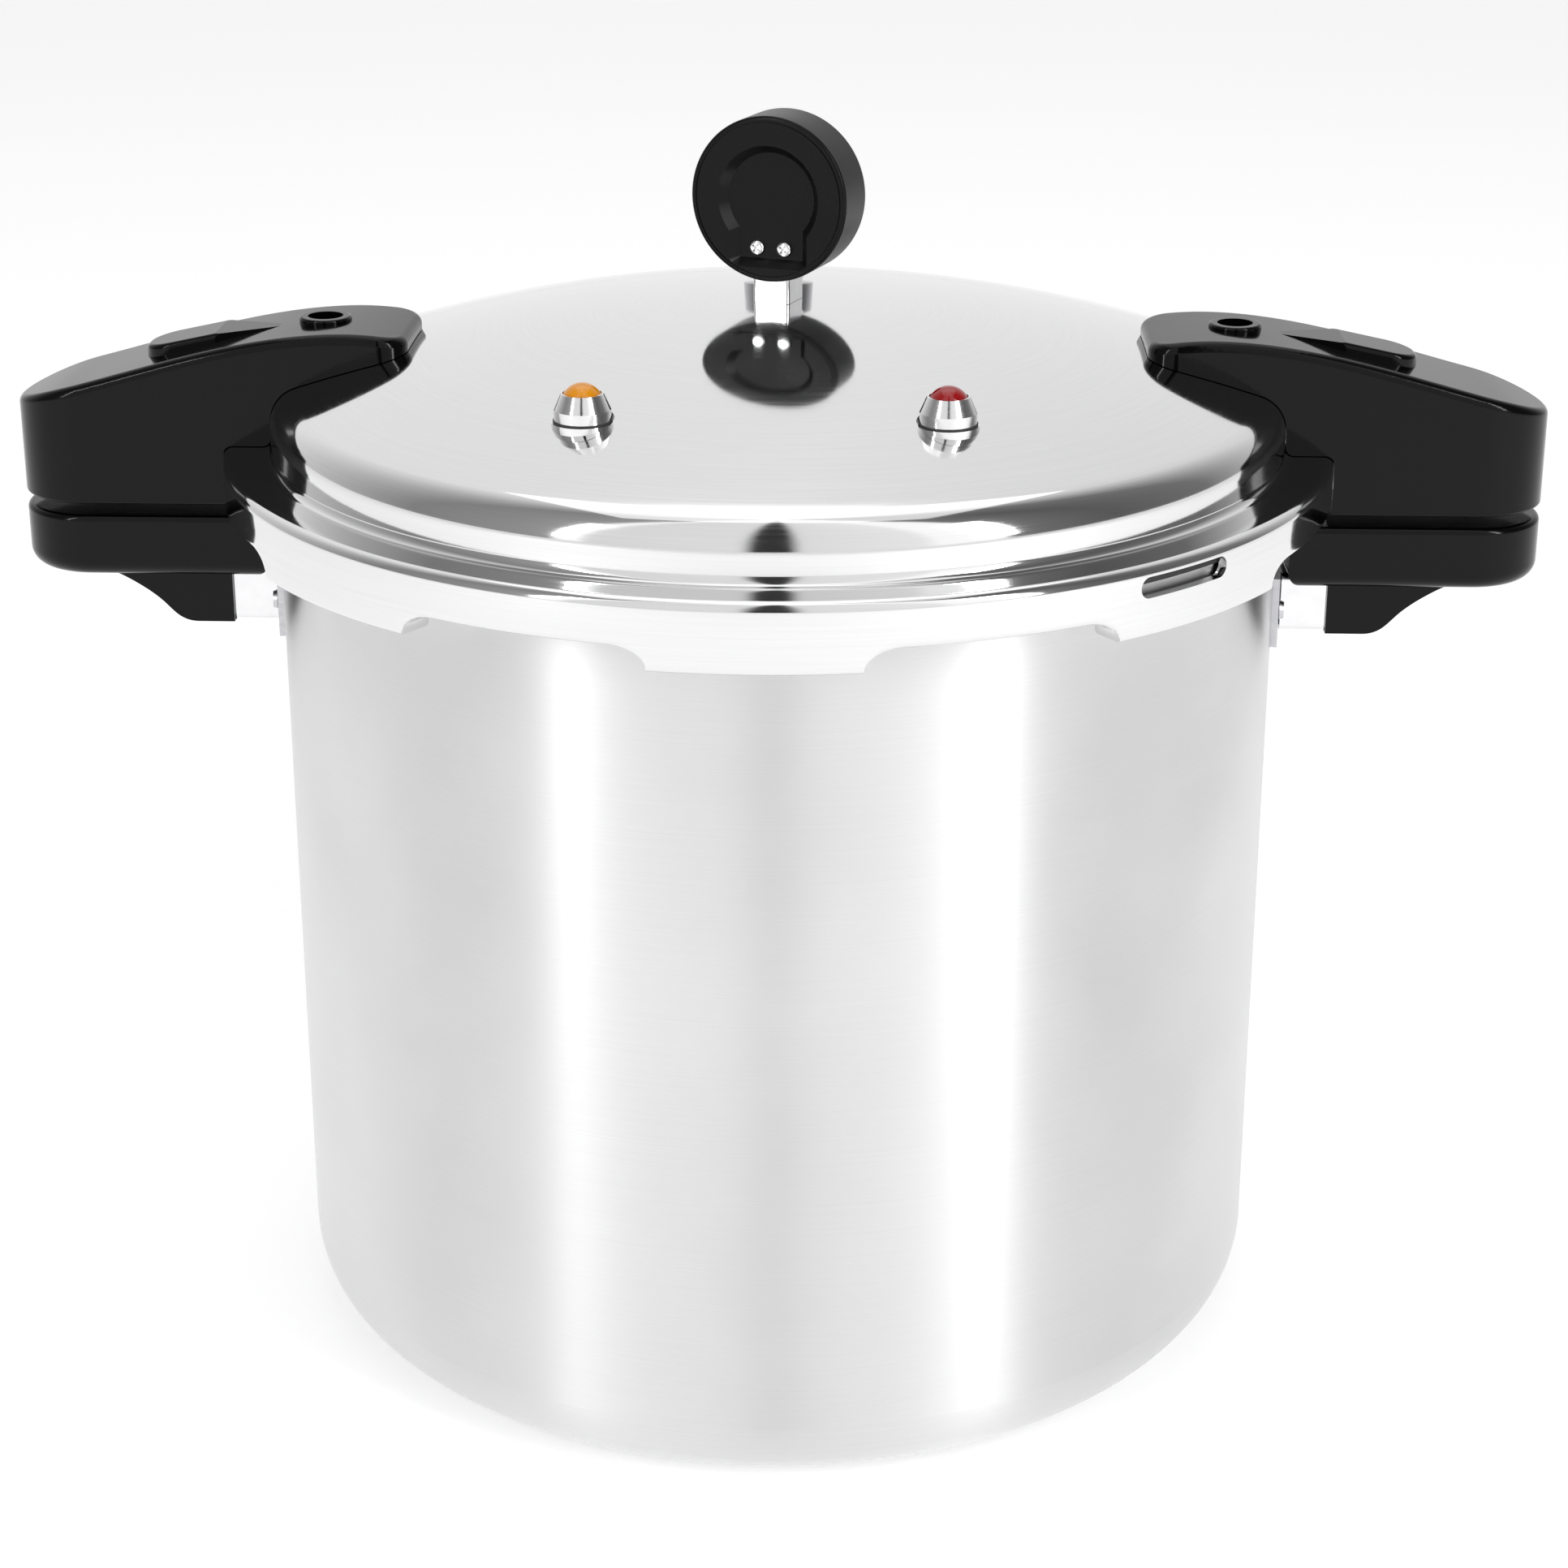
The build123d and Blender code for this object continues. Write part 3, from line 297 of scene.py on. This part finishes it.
def lens_glass(name):
    """Clear, faintly smeared plastic."""
    material, shader, node, link = surface(name)
    shader.inputs["Base Color"].default_value = (0.9, 0.93, 0.93, 1.0)
    shader.inputs["Alpha"].default_value = 0.16
    smears = node("ShaderNodeTexNoise", Scale=90.0, Detail=3.0)
    link(object_coordinates(node, link), smears.inputs["Vector"])
    link(spread_of(node, link, smears.outputs["Fac"], 0.01, 0.06), shader.inputs["Roughness"])
    return material


def paint(material, *names):
    """Gives CAD nodes a material."""
    for name in names:
        piece = cad_nodes[name]
        if not piece.material_slots:
            piece.data.materials.append(material)
        for part in piece.material_slots:
            part.material = material


# ---------------------------------------------------------------- mesh building

def piece_from(name, build, material, body, replaced=()):
    """Makes a piece from a bmesh, with smooth faces and crisp corners, riding on its body."""
    mesh = bpy.data.meshes.new(name)
    bmesh.ops.recalc_face_normals(build, faces=build.faces)
    build.to_mesh(mesh)
    build.free()
    piece = bpy.data.objects.new(name, mesh)
    bpy.context.scene.collection.objects.link(piece)
    settle(piece, material)
    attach(piece, body)
    if replaced:
        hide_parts(*replaced)
    return piece


def settle(piece, material, crisp=radians(32.0)):
    """Gives a piece its material, smooth faces, and edges kept sharp past the crisp angle."""
    piece.data.materials.clear()
    piece.data.materials.append(material)
    piece.data.polygons.foreach_set("use_smooth", [True] * len(piece.data.polygons))
    piece.data.set_sharp_from_angle(angle=crisp)


def turned(angles, outline):
    """Surface turned round Z; outline(angle) gives as many (radius, height) points at every angle."""
    build = bmesh.new()
    rows = [
        [build.verts.new((reach * cos(angle), reach * sin(angle), height))
         for reach, height in outline(angle)]
        for angle in angles
    ]
    for row, following in zip(rows, rows[1:] + rows[:1]):
        for i in range(len(row) - 1):
            build.faces.new((row[i], following[i], following[i + 1], row[i + 1]))
    bmesh.ops.remove_doubles(build, verts=build.verts, dist=1e-7)
    return build


def arc(centre, radius, start, stop, steps):
    """Points along an arc in the section, angles in degrees."""
    return [
        (centre[0] + radius * cos(radians(start + (stop - start) * i / steps)),
         centre[1] + radius * sin(radians(start + (stop - start) * i / steps)))
        for i in range(steps + 1)
    ]


def post(build, place, radius, low, high, segments=64):
    """Closed upright round bar in a bmesh."""
    at = Matrix.Translation((place[0], place[1], (low + high) / 2))
    bmesh.ops.create_cone(build, cap_ends=True, segments=segments, radius1=radius, radius2=radius,
                          depth=high - low, matrix=at)


def cut_or_join(piece, build, operation):
    """Applies a boolean with a closed helper mesh and keeps the result in the piece's mesh."""
    helper_mesh = bpy.data.meshes.new("helper")
    bmesh.ops.recalc_face_normals(build, faces=build.faces)
    build.to_mesh(helper_mesh)
    build.free()
    helper = bpy.data.objects.new("helper", helper_mesh)
    bpy.context.scene.collection.objects.link(helper)
    change = piece.modifiers.new("change", "BOOLEAN")
    change.operation, change.object, change.solver = operation, helper, "EXACT"
    bpy.context.view_layer.update()
    graph = bpy.context.evaluated_depsgraph_get()
    result = bpy.data.meshes.new_from_object(piece.evaluated_get(graph))
    if len(result.polygons) < len(piece.data.polygons) // 2:
        raise RuntimeError(f"the {operation.lower()} on {piece.name} lost most of its faces")
    piece.modifiers.remove(change)
    piece.data = result
    bpy.data.objects.remove(helper)


# ---------------------------------------------------------------- studio

# Brightness of the studio round the pot: (share of a turn from behind, level). Half a turn is the front.
STUDIO_BANDS = (
    (0.00, 0.78), (0.10, 0.74), (0.20, 0.42), (0.27, 0.22), (0.33, 0.26), (0.368, 0.30), (0.374, 1.00),
    (0.386, 1.00), (0.392, 0.70), (0.47, 0.74), (0.484, 0.74), (0.492, 0.03), (0.512, 0.03), (0.520, 0.74),
    (0.56, 0.78), (0.592, 0.82), (0.602, 1.00), (0.640, 1.00), (0.648, 0.16), (0.72, 0.10), (0.80, 0.16),
    (0.90, 0.66),
)
STUDIO_STRENGTH = 1.2
# Name, place, point it faces, width and height, and power of each softbox.
SOFTBOXES = (
    ("softbox_left", (-1.5, -1.6, 1.3), (0.0, 0.0, 0.2), (0.12, 1.7), 9.0),
    ("softbox_right", (1.6, -1.4, 1.3), (0.0, 0.0, 0.2), (0.28, 1.7), 16.0),
    ("softbox_top", (0.0, 0.4, 2.6), (0.0, 0.0, 0.3), (2.0, 2.0), 9.0),
)
SENSOR_WIDTH = 36.0


class CANNER_OT_studio(bpy.types.Operator):
    """Pale floor, soft lights and the camera"""
    bl_idname = "canner.studio"
    bl_label = "Studio"

    def execute(self, context):
        sizes = context.scene.canner_studio
        scene = context.scene
        scene.view_settings.view_transform = "Standard"
        self.world(scene)
        self.floor(sizes)
        for name, place, aim, (wide, tall), power in SOFTBOXES:
            lamp = bpy.data.lights.new(name, "AREA")
            lamp.shape = "RECTANGLE"
            lamp.size, lamp.size_y, lamp.energy = wide, tall, power
            box = bpy.data.objects.new(name, lamp)
            box.location = place
            box.rotation_euler = (Vector(aim) - Vector(place)).to_track_quat("-Z", "Y").to_euler()
            scene.collection.objects.link(box)
        camera = bpy.data.cameras.new("camera")
        camera.lens, camera.sensor_width, camera.shift_y = sizes.lens, SENSOR_WIDTH, sizes.shift
        camera.clip_start, camera.clip_end = 0.01, 100.0
        view = bpy.data.objects.new("camera", camera)
        view.location = (sizes.camera_side, -sizes.camera_back, sizes.camera_height)
        view.rotation_euler = (sizes.camera_tilt, 0.0, sizes.camera_turn)
        scene.collection.objects.link(view)
        scene.camera = view
        return {"FINISHED"}

    def world(self, scene):
        """Surroundings whose brightness changes with the direction round the pot."""
        world = bpy.data.worlds.new("studio")
        world.use_nodes = True
        scene.world = world
        nodes, link = world.node_tree.nodes, world.node_tree.links.new
        place = nodes.new("ShaderNodeTexCoord")
        split = nodes.new("ShaderNodeSeparateXYZ")
        front, angle, turn = (nodes.new("ShaderNodeMath") for _ in range(3))
        front.operation, angle.operation, turn.operation = "MULTIPLY", "ARCTAN2", "MULTIPLY_ADD"
        front.inputs[1].default_value = -1.0
        turn.inputs[1].default_value = 0.5 / pi
        turn.inputs[2].default_value = 0.5
        bands = nodes.new("ShaderNodeValToRGB")
        background = nodes["Background"]
        background.inputs["Strength"].default_value = STUDIO_STRENGTH
        link(place.outputs["Generated"], split.inputs[0])
        link(split.outputs["X"], angle.inputs[0])
        link(split.outputs["Y"], front.inputs[0])
        link(front.outputs[0], angle.inputs[1])
        link(angle.outputs[0], turn.inputs[0])
        link(turn.outputs[0], bands.inputs["Fac"])
        link(bands.outputs["Color"], background.inputs["Color"])
        ramp = bands.color_ramp
        first, last = ramp.elements
        first.position, last.position = STUDIO_BANDS[0][0], 1.0
        first.color = last.color = (STUDIO_BANDS[0][1],) * 3 + (1.0,)
        for position, level in STUDIO_BANDS[1:]:
            ramp.elements.new(position).color = (level,) * 3 + (1.0,)

    def floor(self, sizes):
        """Large pale floor with a slight glow."""
        material, shader, node, link = surface("floor")
        shader.inputs["Roughness"].default_value = 0.7
        shader.inputs["Specular IOR Level"].default_value = 0.1
        shader.inputs["Emission Color"].default_value = (1.0, 1.0, 1.0, 1.0)
        shader.inputs["Emission Strength"].default_value = sizes.floor_glow
        clouds = node("ShaderNodeTexNoise", Scale=3.0, Detail=2.0)
        link(object_coordinates(node, link), clouds.inputs["Vector"])
        link(two_tones(node, link, clouds.outputs["Fac"], sizes.floor_colour, 0.995, 1.0),
             shader.inputs["Base Color"])
        build = bmesh.new()
        bmesh.ops.create_grid(build, x_segments=8, y_segments=8, size=sizes.floor_size / 2)
        mesh = bpy.data.meshes.new("floor")
        build.to_mesh(mesh)
        build.free()
        floor = bpy.data.objects.new("floor", mesh)
        mesh.materials.append(material)
        bpy.context.scene.collection.objects.link(floor)


# ---------------------------------------------------------------- pot

class CANNER_OT_pot(bpy.types.Operator):
    """Pot, brackets, ferrules, handles and their fastenings"""
    bl_idname = "canner.pot"
    bl_label = "Pot"

    def execute(self, context):
        finishes = context.scene.canner_finishes
        wall = turned_metal("pot_wall_metal", finishes.aluminium, finishes.wall_roughness, anisotropy=0.93,
                            pitch=0.5 * MM, relief=0.0008 * MM)
        paint(wall, "pot_shell")
        paint(plated_metal("zinc_plate", finishes.steel, 0.28), "pot_bracket_left", "pot_bracket_right",
              "bracket_rivets", "pot_handle_bolts")
        paint(plated_metal("bright_chrome", finishes.chrome, 0.07, relief=0.003 * MM),
              "ferrule_left", "ferrule_right")
        paint(moulded("handle_phenolic", finishes.phenolic, 0.11, 260.0, 0.004 * MM, coat=0.10, gloss=0.14),
              "pot_handle_left", "pot_handle_right")
        return {"FINISHED"}


class CANNER_OT_jar_rack(bpy.types.Operator):
    """Pressed rack in the bottom of the pot"""
    bl_idname = "canner.jar_rack"
    bl_label = "Jar rack"

    def execute(self, context):
        paint(plated_metal("mill_aluminium", context.scene.canner_finishes.rack_aluminium, 0.35, grain=400.0),
              "jar_rack")
        return {"FINISHED"}


# ---------------------------------------------------------------- lid

# Start and stop of each notch in the skirt, in degrees round the lid.
NOTCHES = ((-79.0, -56.6), (-31.5, 31.5), (56.6, 79.0), (101.0, 123.4), (148.5, 211.5), (236.6, 259.0))
# Share of the rise's run that lies before a notch's start.
RUN_BEFORE = 0.35
RISE_STEPS = 24

VALVE_SEAT_RADIUS, VENT_SEAT_RADIUS = 9.3 * MM, 7.6 * MM
VALVE_HOLE_RADIUS, VENT_HOLE_RADIUS = 5.2 * MM, 3.7 * MM
STEM_HOLE_RADIUS = 5.2 * MM
SCREW_HOLE_RADIUS, SCREW_HEAD_RADIUS = 2.7 * MM, 4.7 * MM
SEAT_DEPTH = 5.5 * MM


def notch_share(angle, run):
    """0 at a lug, 1 in a notch, and a quarter of an ellipse of the given run between them."""
    best = 0.0
    for start, stop in NOTCHES:
        middle, half = radians((start + stop) / 2), radians((stop - start) / 2)
        off = abs((angle - middle + pi) % (2 * pi) - pi)
        rise = min(1.0, max(0.0, (half - off) / run + RUN_BEFORE))
        best = max(best, sqrt(1.0 - (1.0 - rise) ** 2))
    return best


class CANNER_OT_lid(bpy.types.Operator):
    """Polished lid with its ledge, lugged skirt and window, and the sealing ring"""
    bl_idname = "canner.lid"
    bl_label = "Lid"

    def execute(self, context):
        sizes = context.scene.canner_lid
        finishes = context.scene.canner_finishes
        polish = turned_metal("lid_metal", finishes.aluminium, finishes.crown_roughness, anisotropy=0.5,
                              pitch=0.7 * MM, relief=0.0003 * MM, blotch=0.03)
        lid = piece_from("lid_pressing", turned(self.angles(sizes), lambda angle: self.outline(sizes, angle)),
                         polish, "lid", ("lid_shell",))
        self.seats(lid, sizes)
        settle(lid, polish)
        paint(moulded("seal_rubber", finishes.rubber, 0.55, 900.0, 0.02 * MM), "sealing_ring")
        return {"FINISHED"}

    def angles(self, sizes):
        """Even steps round the lid, with finer steps where the skirt's edge rises."""
        found = {round(i, 3) for i in range(360)}
        run = sizes.notch_run * 180.0 / pi
        for start, stop in NOTCHES:
            for edge in (start, stop):
                inward = 1.0 if edge == start else -1.0
                steps = [1.0 - cos(pi / 2 * i / RISE_STEPS) for i in range(RISE_STEPS + 1)]
                found.update(
                    round((edge + inward * run * (step - RUN_BEFORE)) % 360.0, 4) for step in steps
                )
        return [radians(value) for value in sorted(found)]

    def outline(self, sizes, angle):
        """Closed section of the lid at an angle, from its centre out, round the skirt and back inside."""
        sheet, fillet, edge = sizes.thickness, sizes.ledge_fillet, sizes.edge
        reach = LID_HIGH.x
        notch = notch_share(angle, sizes.notch_run)
        low = LID_LOW.z + (sizes.notch_top - LID_LOW.z) * notch
        lip = sizes.lip_inner + (reach - sheet - sizes.lip_inner) * notch
        lip_top = low + sizes.lip_thickness
        outer = self.dome(sizes, 0.0)
        outer += arc((sizes.wall + fillet, sizes.ledge + fillet), fillet, 180.0, 270.0, 6)
        outer += arc((reach - fillet, sizes.ledge - fillet), fillet, 90.0, 0.0, 8)
        outer += [(reach, sizes.ledge - 9.0 * MM), (reach, low + 2.0 * edge)]
        outer += arc((reach - edge, low + edge), edge, 0.0, -90.0, 5)
        outer += arc((lip + edge, low + edge), edge, -90.0, -180.0, 5)
        outer += [(lip, lip_top), (reach - sheet, lip_top + 0.2 * MM), (reach - sheet, sizes.ledge - sheet)]
        outer += [(sizes.wall - sheet, sizes.ledge - sheet)]
        return outer + list(reversed(self.dome(sizes, sheet)))

    def dome(self, sizes, inset):
        """Crown and shoulder of the lid from its centre to its wall, moved in by inset."""
        middle = LID_HIGH.z - sizes.crown_radius
        turn_x = sizes.wall - sizes.shoulder
        turn_z = middle + sqrt((sizes.crown_radius - sizes.shoulder) ** 2 - turn_x**2)
        slope = atan2(turn_z - middle, turn_x) * 180.0 / pi
        crown = arc((0.0, middle), sizes.crown_radius - inset, 90.0, slope, 40)
        bend = arc((turn_x, turn_z), sizes.shoulder - inset, slope, 0.0, 12)
        return [(0.0, crown[0][1])] + crown[1:] + bend

    def seats(self, lid, sizes):
        """Flat seats under the nuts, the holes through the crown, and the window in the skirt."""
        seats, clearings, holes = bmesh.new(), bmesh.new(), bmesh.new()
        over = LID_HIGH.z + 6.0 * MM
        for low, high in (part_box("amber_plunger"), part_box("red_plunger"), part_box("vent_pipe")):
            place = ((low.x + high.x) / 2, (low.y + high.y) / 2)
            in_front = low.y < 0
            wide = VALVE_SEAT_RADIUS if in_front else VENT_SEAT_RADIUS
            hole = VALVE_HOLE_RADIUS if in_front else VENT_HOLE_RADIUS
            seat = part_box("valve_seals" if in_front else "vent_seal")[0].z
            post(seats, place, wide, seat - SEAT_DEPTH, seat)
            post(clearings, place, wide + 0.01 * MM, seat, over)
            post(holes, place, hole, seat - 20.0 * MM, seat + 1.0 * MM)
        screws_low, screws_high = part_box("handle_screws")
        reach = (screws_high.x - screws_low.x) / 2 - SCREW_HEAD_RADIUS
        for place in ((-reach, 0.0), (reach, 0.0)):
            post(holes, place, SCREW_HOLE_RADIUS, sizes.ledge, over)
        post(holes, (0.0, 0.0), STEM_HOLE_RADIUS, sizes.ledge, over)
        self.window(holes, sizes)
        cut_or_join(lid, seats, "UNION")
        cut_or_join(lid, clearings, "DIFFERENCE")
        cut_or_join(lid, holes, "DIFFERENCE")

    def window(self, cuts, sizes):
        """Slot with round ends, cut straight in through the skirt."""
        radius = sizes.window_height / 2
        half = sizes.window_length / 2 - radius
        height = sizes.ledge - sizes.thickness - 0.3 * MM - radius
        rim = arc((half, 0.0), radius, -90.0, 90.0, 16) + arc((-half, 0.0), radius, 90.0, 270.0, 16)
        turn = Matrix.Rotation(sizes.window_turn, 3, "Z")
        ends = [
            [cuts.verts.new(turn @ Vector((depth, along, height + up))) for along, up in rim]
            for depth in (LID_HIGH.x - sizes.thickness - 1.0 * MM, LID_HIGH.x + 8.0 * MM)
        ]
        cuts.faces.new(ends[0])
        cuts.faces.new(list(reversed(ends[1])))
        for i in range(len(rim)):
            following = (i + 1) % len(rim)
            cuts.faces.new((ends[0][i], ends[0][following], ends[1][following], ends[1][i]))


class CANNER_OT_lid_handles(bpy.types.Operator):
    """Two moulded lid handles and their screws"""
    bl_idname = "canner.lid_handles"
    bl_label = "Lid handles"

    def execute(self, context):
        paint(bpy.data.materials["handle_phenolic"], "lid_handle_left", "lid_handle_right")
        paint(bpy.data.materials["zinc_plate"], "handle_screws", "handle_washers", "handle_cap_nuts")
        return {"FINISHED"}


# ---------------------------------------------------------------- valves, gauge, regulator

class CANNER_OT_valves(bpy.types.Operator):
    """Amber and red safety valves"""
    bl_idname = "canner.valves"
    bl_label = "Safety valves"

    def execute(self, context):
        finishes = context.scene.canner_finishes
        paint(turned_metal("valve_nut_metal", finishes.aluminium, 0.14, pitch=0.5 * MM, relief=0.006 * MM),
              "valve_nuts")
        zinc = bpy.data.materials["zinc_plate"]
        paint(zinc, "valve_bushes", "amber_clip", "red_clip")
        for colour in ("amber", "red"):
            self.spring(context.scene.canner_valves, colour, zinc)
        paint(bpy.data.materials["seal_rubber"], "valve_seals", "valve_inner_seals")
        paint(moulded("amber_dome", finishes.amber, 0.10, 500.0, 0.002 * MM, coat=0.3, tones=(0.92, 1.08)),
              "amber_plunger")
        paint(moulded("red_dome", finishes.red, 0.10, 500.0, 0.002 * MM, coat=0.3, tones=(0.9, 1.1)),
              "red_plunger")
        return {"FINISHED"}

    def spring(self, sizes, colour, zinc):
        """Coiled spring between bush and clip, as tall as the CAD spring."""
        low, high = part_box(f"{colour}_spring")
        middle = sum(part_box(f"{colour}_plunger"), Vector()) / 2
        wire, start, height = sizes.wire, low.z + sizes.wire, high.z - low.z - 2 * sizes.wire
        turns, steps, sides = sizes.turns, 160, 12
        build = bmesh.new()
        rows = []
        for i in range(steps + 1):
            angle = 2 * pi * turns * i / steps
            out = Vector((cos(angle), sin(angle), 0.0))
            along = Vector((-sin(angle), cos(angle), height / (2 * pi * turns * sizes.coil))).normalized()
            side = along.cross(out)
            at = Vector((middle.x, middle.y, start + height * i / steps)) + out * sizes.coil
            rows.append([
                build.verts.new(at + (out * cos(2 * pi * j / sides) + side * sin(2 * pi * j / sides)) * wire)
                for j in range(sides)
            ])
        for row, following in zip(rows, rows[1:]):
            for j in range(sides):
                k = (j + 1) % sides
                build.faces.new((row[j], row[k], following[k], following[j]))
        build.faces.new(list(reversed(rows[0])))
        build.faces.new(rows[-1])
        coil = piece_from(f"{colour}_coil", build, zinc, "lid", (f"{colour}_spring",))
        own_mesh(coil)


# The gauge faces this far to one side of the front, and its scale runs clockwise from its start.
DIAL_TURN = radians(20.0)
DIAL_FRONT = 0.3 * MM
SCALE_START, SCALE_SWEEP = 216.0, 252.0
TICK_STEPS, FIGURE_STEPS = 40, 4
TICK_REACH, TICK_RAISE = 22.3 * MM, 0.05 * MM
TICK_LENGTHS = (2.6 * MM, 1.9 * MM, 1.2 * MM)
TICK_HALF_WIDTHS = (0.28 * MM, 0.28 * MM, 0.14 * MM)
FIGURE_REACH, FIGURE_SIZE = 16.6 * MM, 4.4 * MM
FIGURE_HALF_DEPTH, FIGURE_RAISE = 0.02 * MM, 0.03 * MM


class CANNER_OT_gauge(bpy.types.Operator):
    """Dial gauge on its stem, with figures on the dial"""
    bl_idname = "canner.gauge"
    bl_label = "Dial gauge"

    def execute(self, context):
        finishes = context.scene.canner_finishes
        enamel = moulded("satin_enamel", finishes.enamel, 0.30, 1400.0, 0.003 * MM, gloss=0.16,
                         tones=(0.85, 1.25))
        paint(enamel, "gauge_case", "gauge_bezel")
        paint(bpy.data.materials["bright_chrome"], "gauge_stem", "case_screws")
        paint(bpy.data.materials["seal_rubber"], "gauge_gasket")
        paint(bpy.data.materials["zinc_plate"], "gauge_nut")
        paint(plated_metal("movement_brass", finishes.brass, 0.22),
              "movement_plates", "pinion", "sector_gear", "bourdon_tube")
        paint(moulded("dial_paint", finishes.dial, 0.4, 1200.0, 0.003 * MM, tones=(0.97, 1.0)), "dial_plate")
        ink = moulded("marking_ink", finishes.marking, 0.5, 1500.0, 0.002 * MM)
        paint(ink, "pointer")
        paint(lens_glass("clear_lens"), "gauge_lens")
        self.markings(ink)
        return {"FINISHED"}

    def markings(self, ink):
        """Ticks and plain figures, lying on the dial's face."""
        centre = (DIAL_LOW + DIAL_HIGH) / 2
        face = Matrix((
            (-cos(DIAL_TURN), 0.0, sin(DIAL_TURN), centre.x),
            (sin(DIAL_TURN), 0.0, cos(DIAL_TURN), centre.y),
            (0.0, 1.0, 0.0, centre.z),
            (0.0, 0.0, 0.0, 1.0),
        )) @ Matrix.Translation((0.0, 0.0, DIAL_FRONT))
        build = bmesh.new()
        for i in range(TICK_STEPS + 1):
            angle = radians(SCALE_START - SCALE_SWEEP * i / TICK_STEPS)
            rank = 0 if i % 10 == 0 else 1 if i % 5 == 0 else 2
            inner, width = TICK_REACH - TICK_LENGTHS[rank], TICK_HALF_WIDTHS[rank]
            along, across = Vector((cos(angle), sin(angle), 0)), Vector((-sin(angle), cos(angle), 0))
            corners = [
                along * r + across * w
                for r, w in ((TICK_REACH, -width), (TICK_REACH, width), (inner, width), (inner, -width))
            ]
            low = [build.verts.new(face @ corner) for corner in corners]
            high = [build.verts.new(face @ (corner + Vector((0, 0, TICK_RAISE)))) for corner in corners]
            build.faces.new(high)
            build.faces.new(list(reversed(low)))
            for j in range(4):
                k = (j + 1) % 4
                build.faces.new((low[j], low[k], high[k], high[j]))
        piece_from("dial_ticks", build, ink, "lid")
        for i in range(FIGURE_STEPS + 1):
            angle = radians(SCALE_START - SCALE_SWEEP * i / FIGURE_STEPS)
            words = bpy.data.curves.new(f"figure_{i}", "FONT")
            words.body = str(5 * i)
            words.size = FIGURE_SIZE
            words.extrude = FIGURE_HALF_DEPTH
            words.align_x, words.align_y = "CENTER", "CENTER"
            figure = bpy.data.objects.new(f"figure_{i}", words)
            bpy.context.scene.collection.objects.link(figure)
            figure.matrix_world = face @ Matrix.Translation(
                (FIGURE_REACH * cos(angle), FIGURE_REACH * sin(angle), FIGURE_RAISE)
            )
            words.materials.append(ink)
            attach(figure, "lid")


class CANNER_OT_regulator(bpy.types.Operator):
    """Vent pipe and the weight that stands on it"""
    bl_idname = "canner.regulator"
    bl_label = "Regulator"

    def execute(self, context):
        finishes = context.scene.canner_finishes
        paint(bpy.data.materials["bright_chrome"], "vent_pipe")
        paint(bpy.data.materials["zinc_plate"], "vent_nut")
        paint(bpy.data.materials["seal_rubber"], "vent_seal")
        paint(turned_metal("satin_steel", finishes.steel, 0.24, pitch=0.4 * MM, relief=0.006 * MM),
              "regulator_weight")
        return {"FINISHED"}


OPERATORS = (
    CANNER_OT_studio, CANNER_OT_pot, CANNER_OT_jar_rack, CANNER_OT_lid, CANNER_OT_lid_handles,
    CANNER_OT_valves, CANNER_OT_gauge, CANNER_OT_regulator,
)


class CANNER_PT_sidebar(bpy.types.Panel):
    """Sizes, finishes and pieces of the canner"""
    bl_label = "Pressure canner"
    bl_idname = "CANNER_PT_sidebar"
    bl_space_type = "VIEW_3D"
    bl_region_type = "UI"
    bl_category = "Canner"

    def draw(self, context):
        scene = context.scene
        for group in (scene.canner_lid, scene.canner_valves, scene.canner_finishes, scene.canner_studio):
            box = self.layout.box()
            for name in group.bl_rna.properties.keys():
                if name not in {"rna_type", "name"}:
                    box.prop(group, name)
        for operator in OPERATORS:
            self.layout.operator(operator.bl_idname)


CLASSES = (LidSizes, ValveSizes, Finishes, StudioSizes) + OPERATORS + (CANNER_PT_sidebar,)


def register():
    for made in CLASSES:
        bpy.utils.register_class(made)
    bpy.types.Scene.canner_lid = bpy.props.PointerProperty(type=LidSizes)
    bpy.types.Scene.canner_valves = bpy.props.PointerProperty(type=ValveSizes)
    bpy.types.Scene.canner_finishes = bpy.props.PointerProperty(type=Finishes)
    bpy.types.Scene.canner_studio = bpy.props.PointerProperty(type=StudioSizes)


def unregister():
    del bpy.types.Scene.canner_studio
    del bpy.types.Scene.canner_finishes
    del bpy.types.Scene.canner_valves
    del bpy.types.Scene.canner_lid
    for made in reversed(CLASSES):
        bpy.utils.unregister_class(made)


def main():
    register()
    bpy.ops.canner.studio()
    bpy.ops.canner.pot()
    bpy.ops.canner.jar_rack()
    bpy.ops.canner.lid()
    bpy.ops.canner.lid_handles()
    bpy.ops.canner.valves()
    bpy.ops.canner.gauge()
    bpy.ops.canner.regulator()


if __name__ == "__main__":
    main()
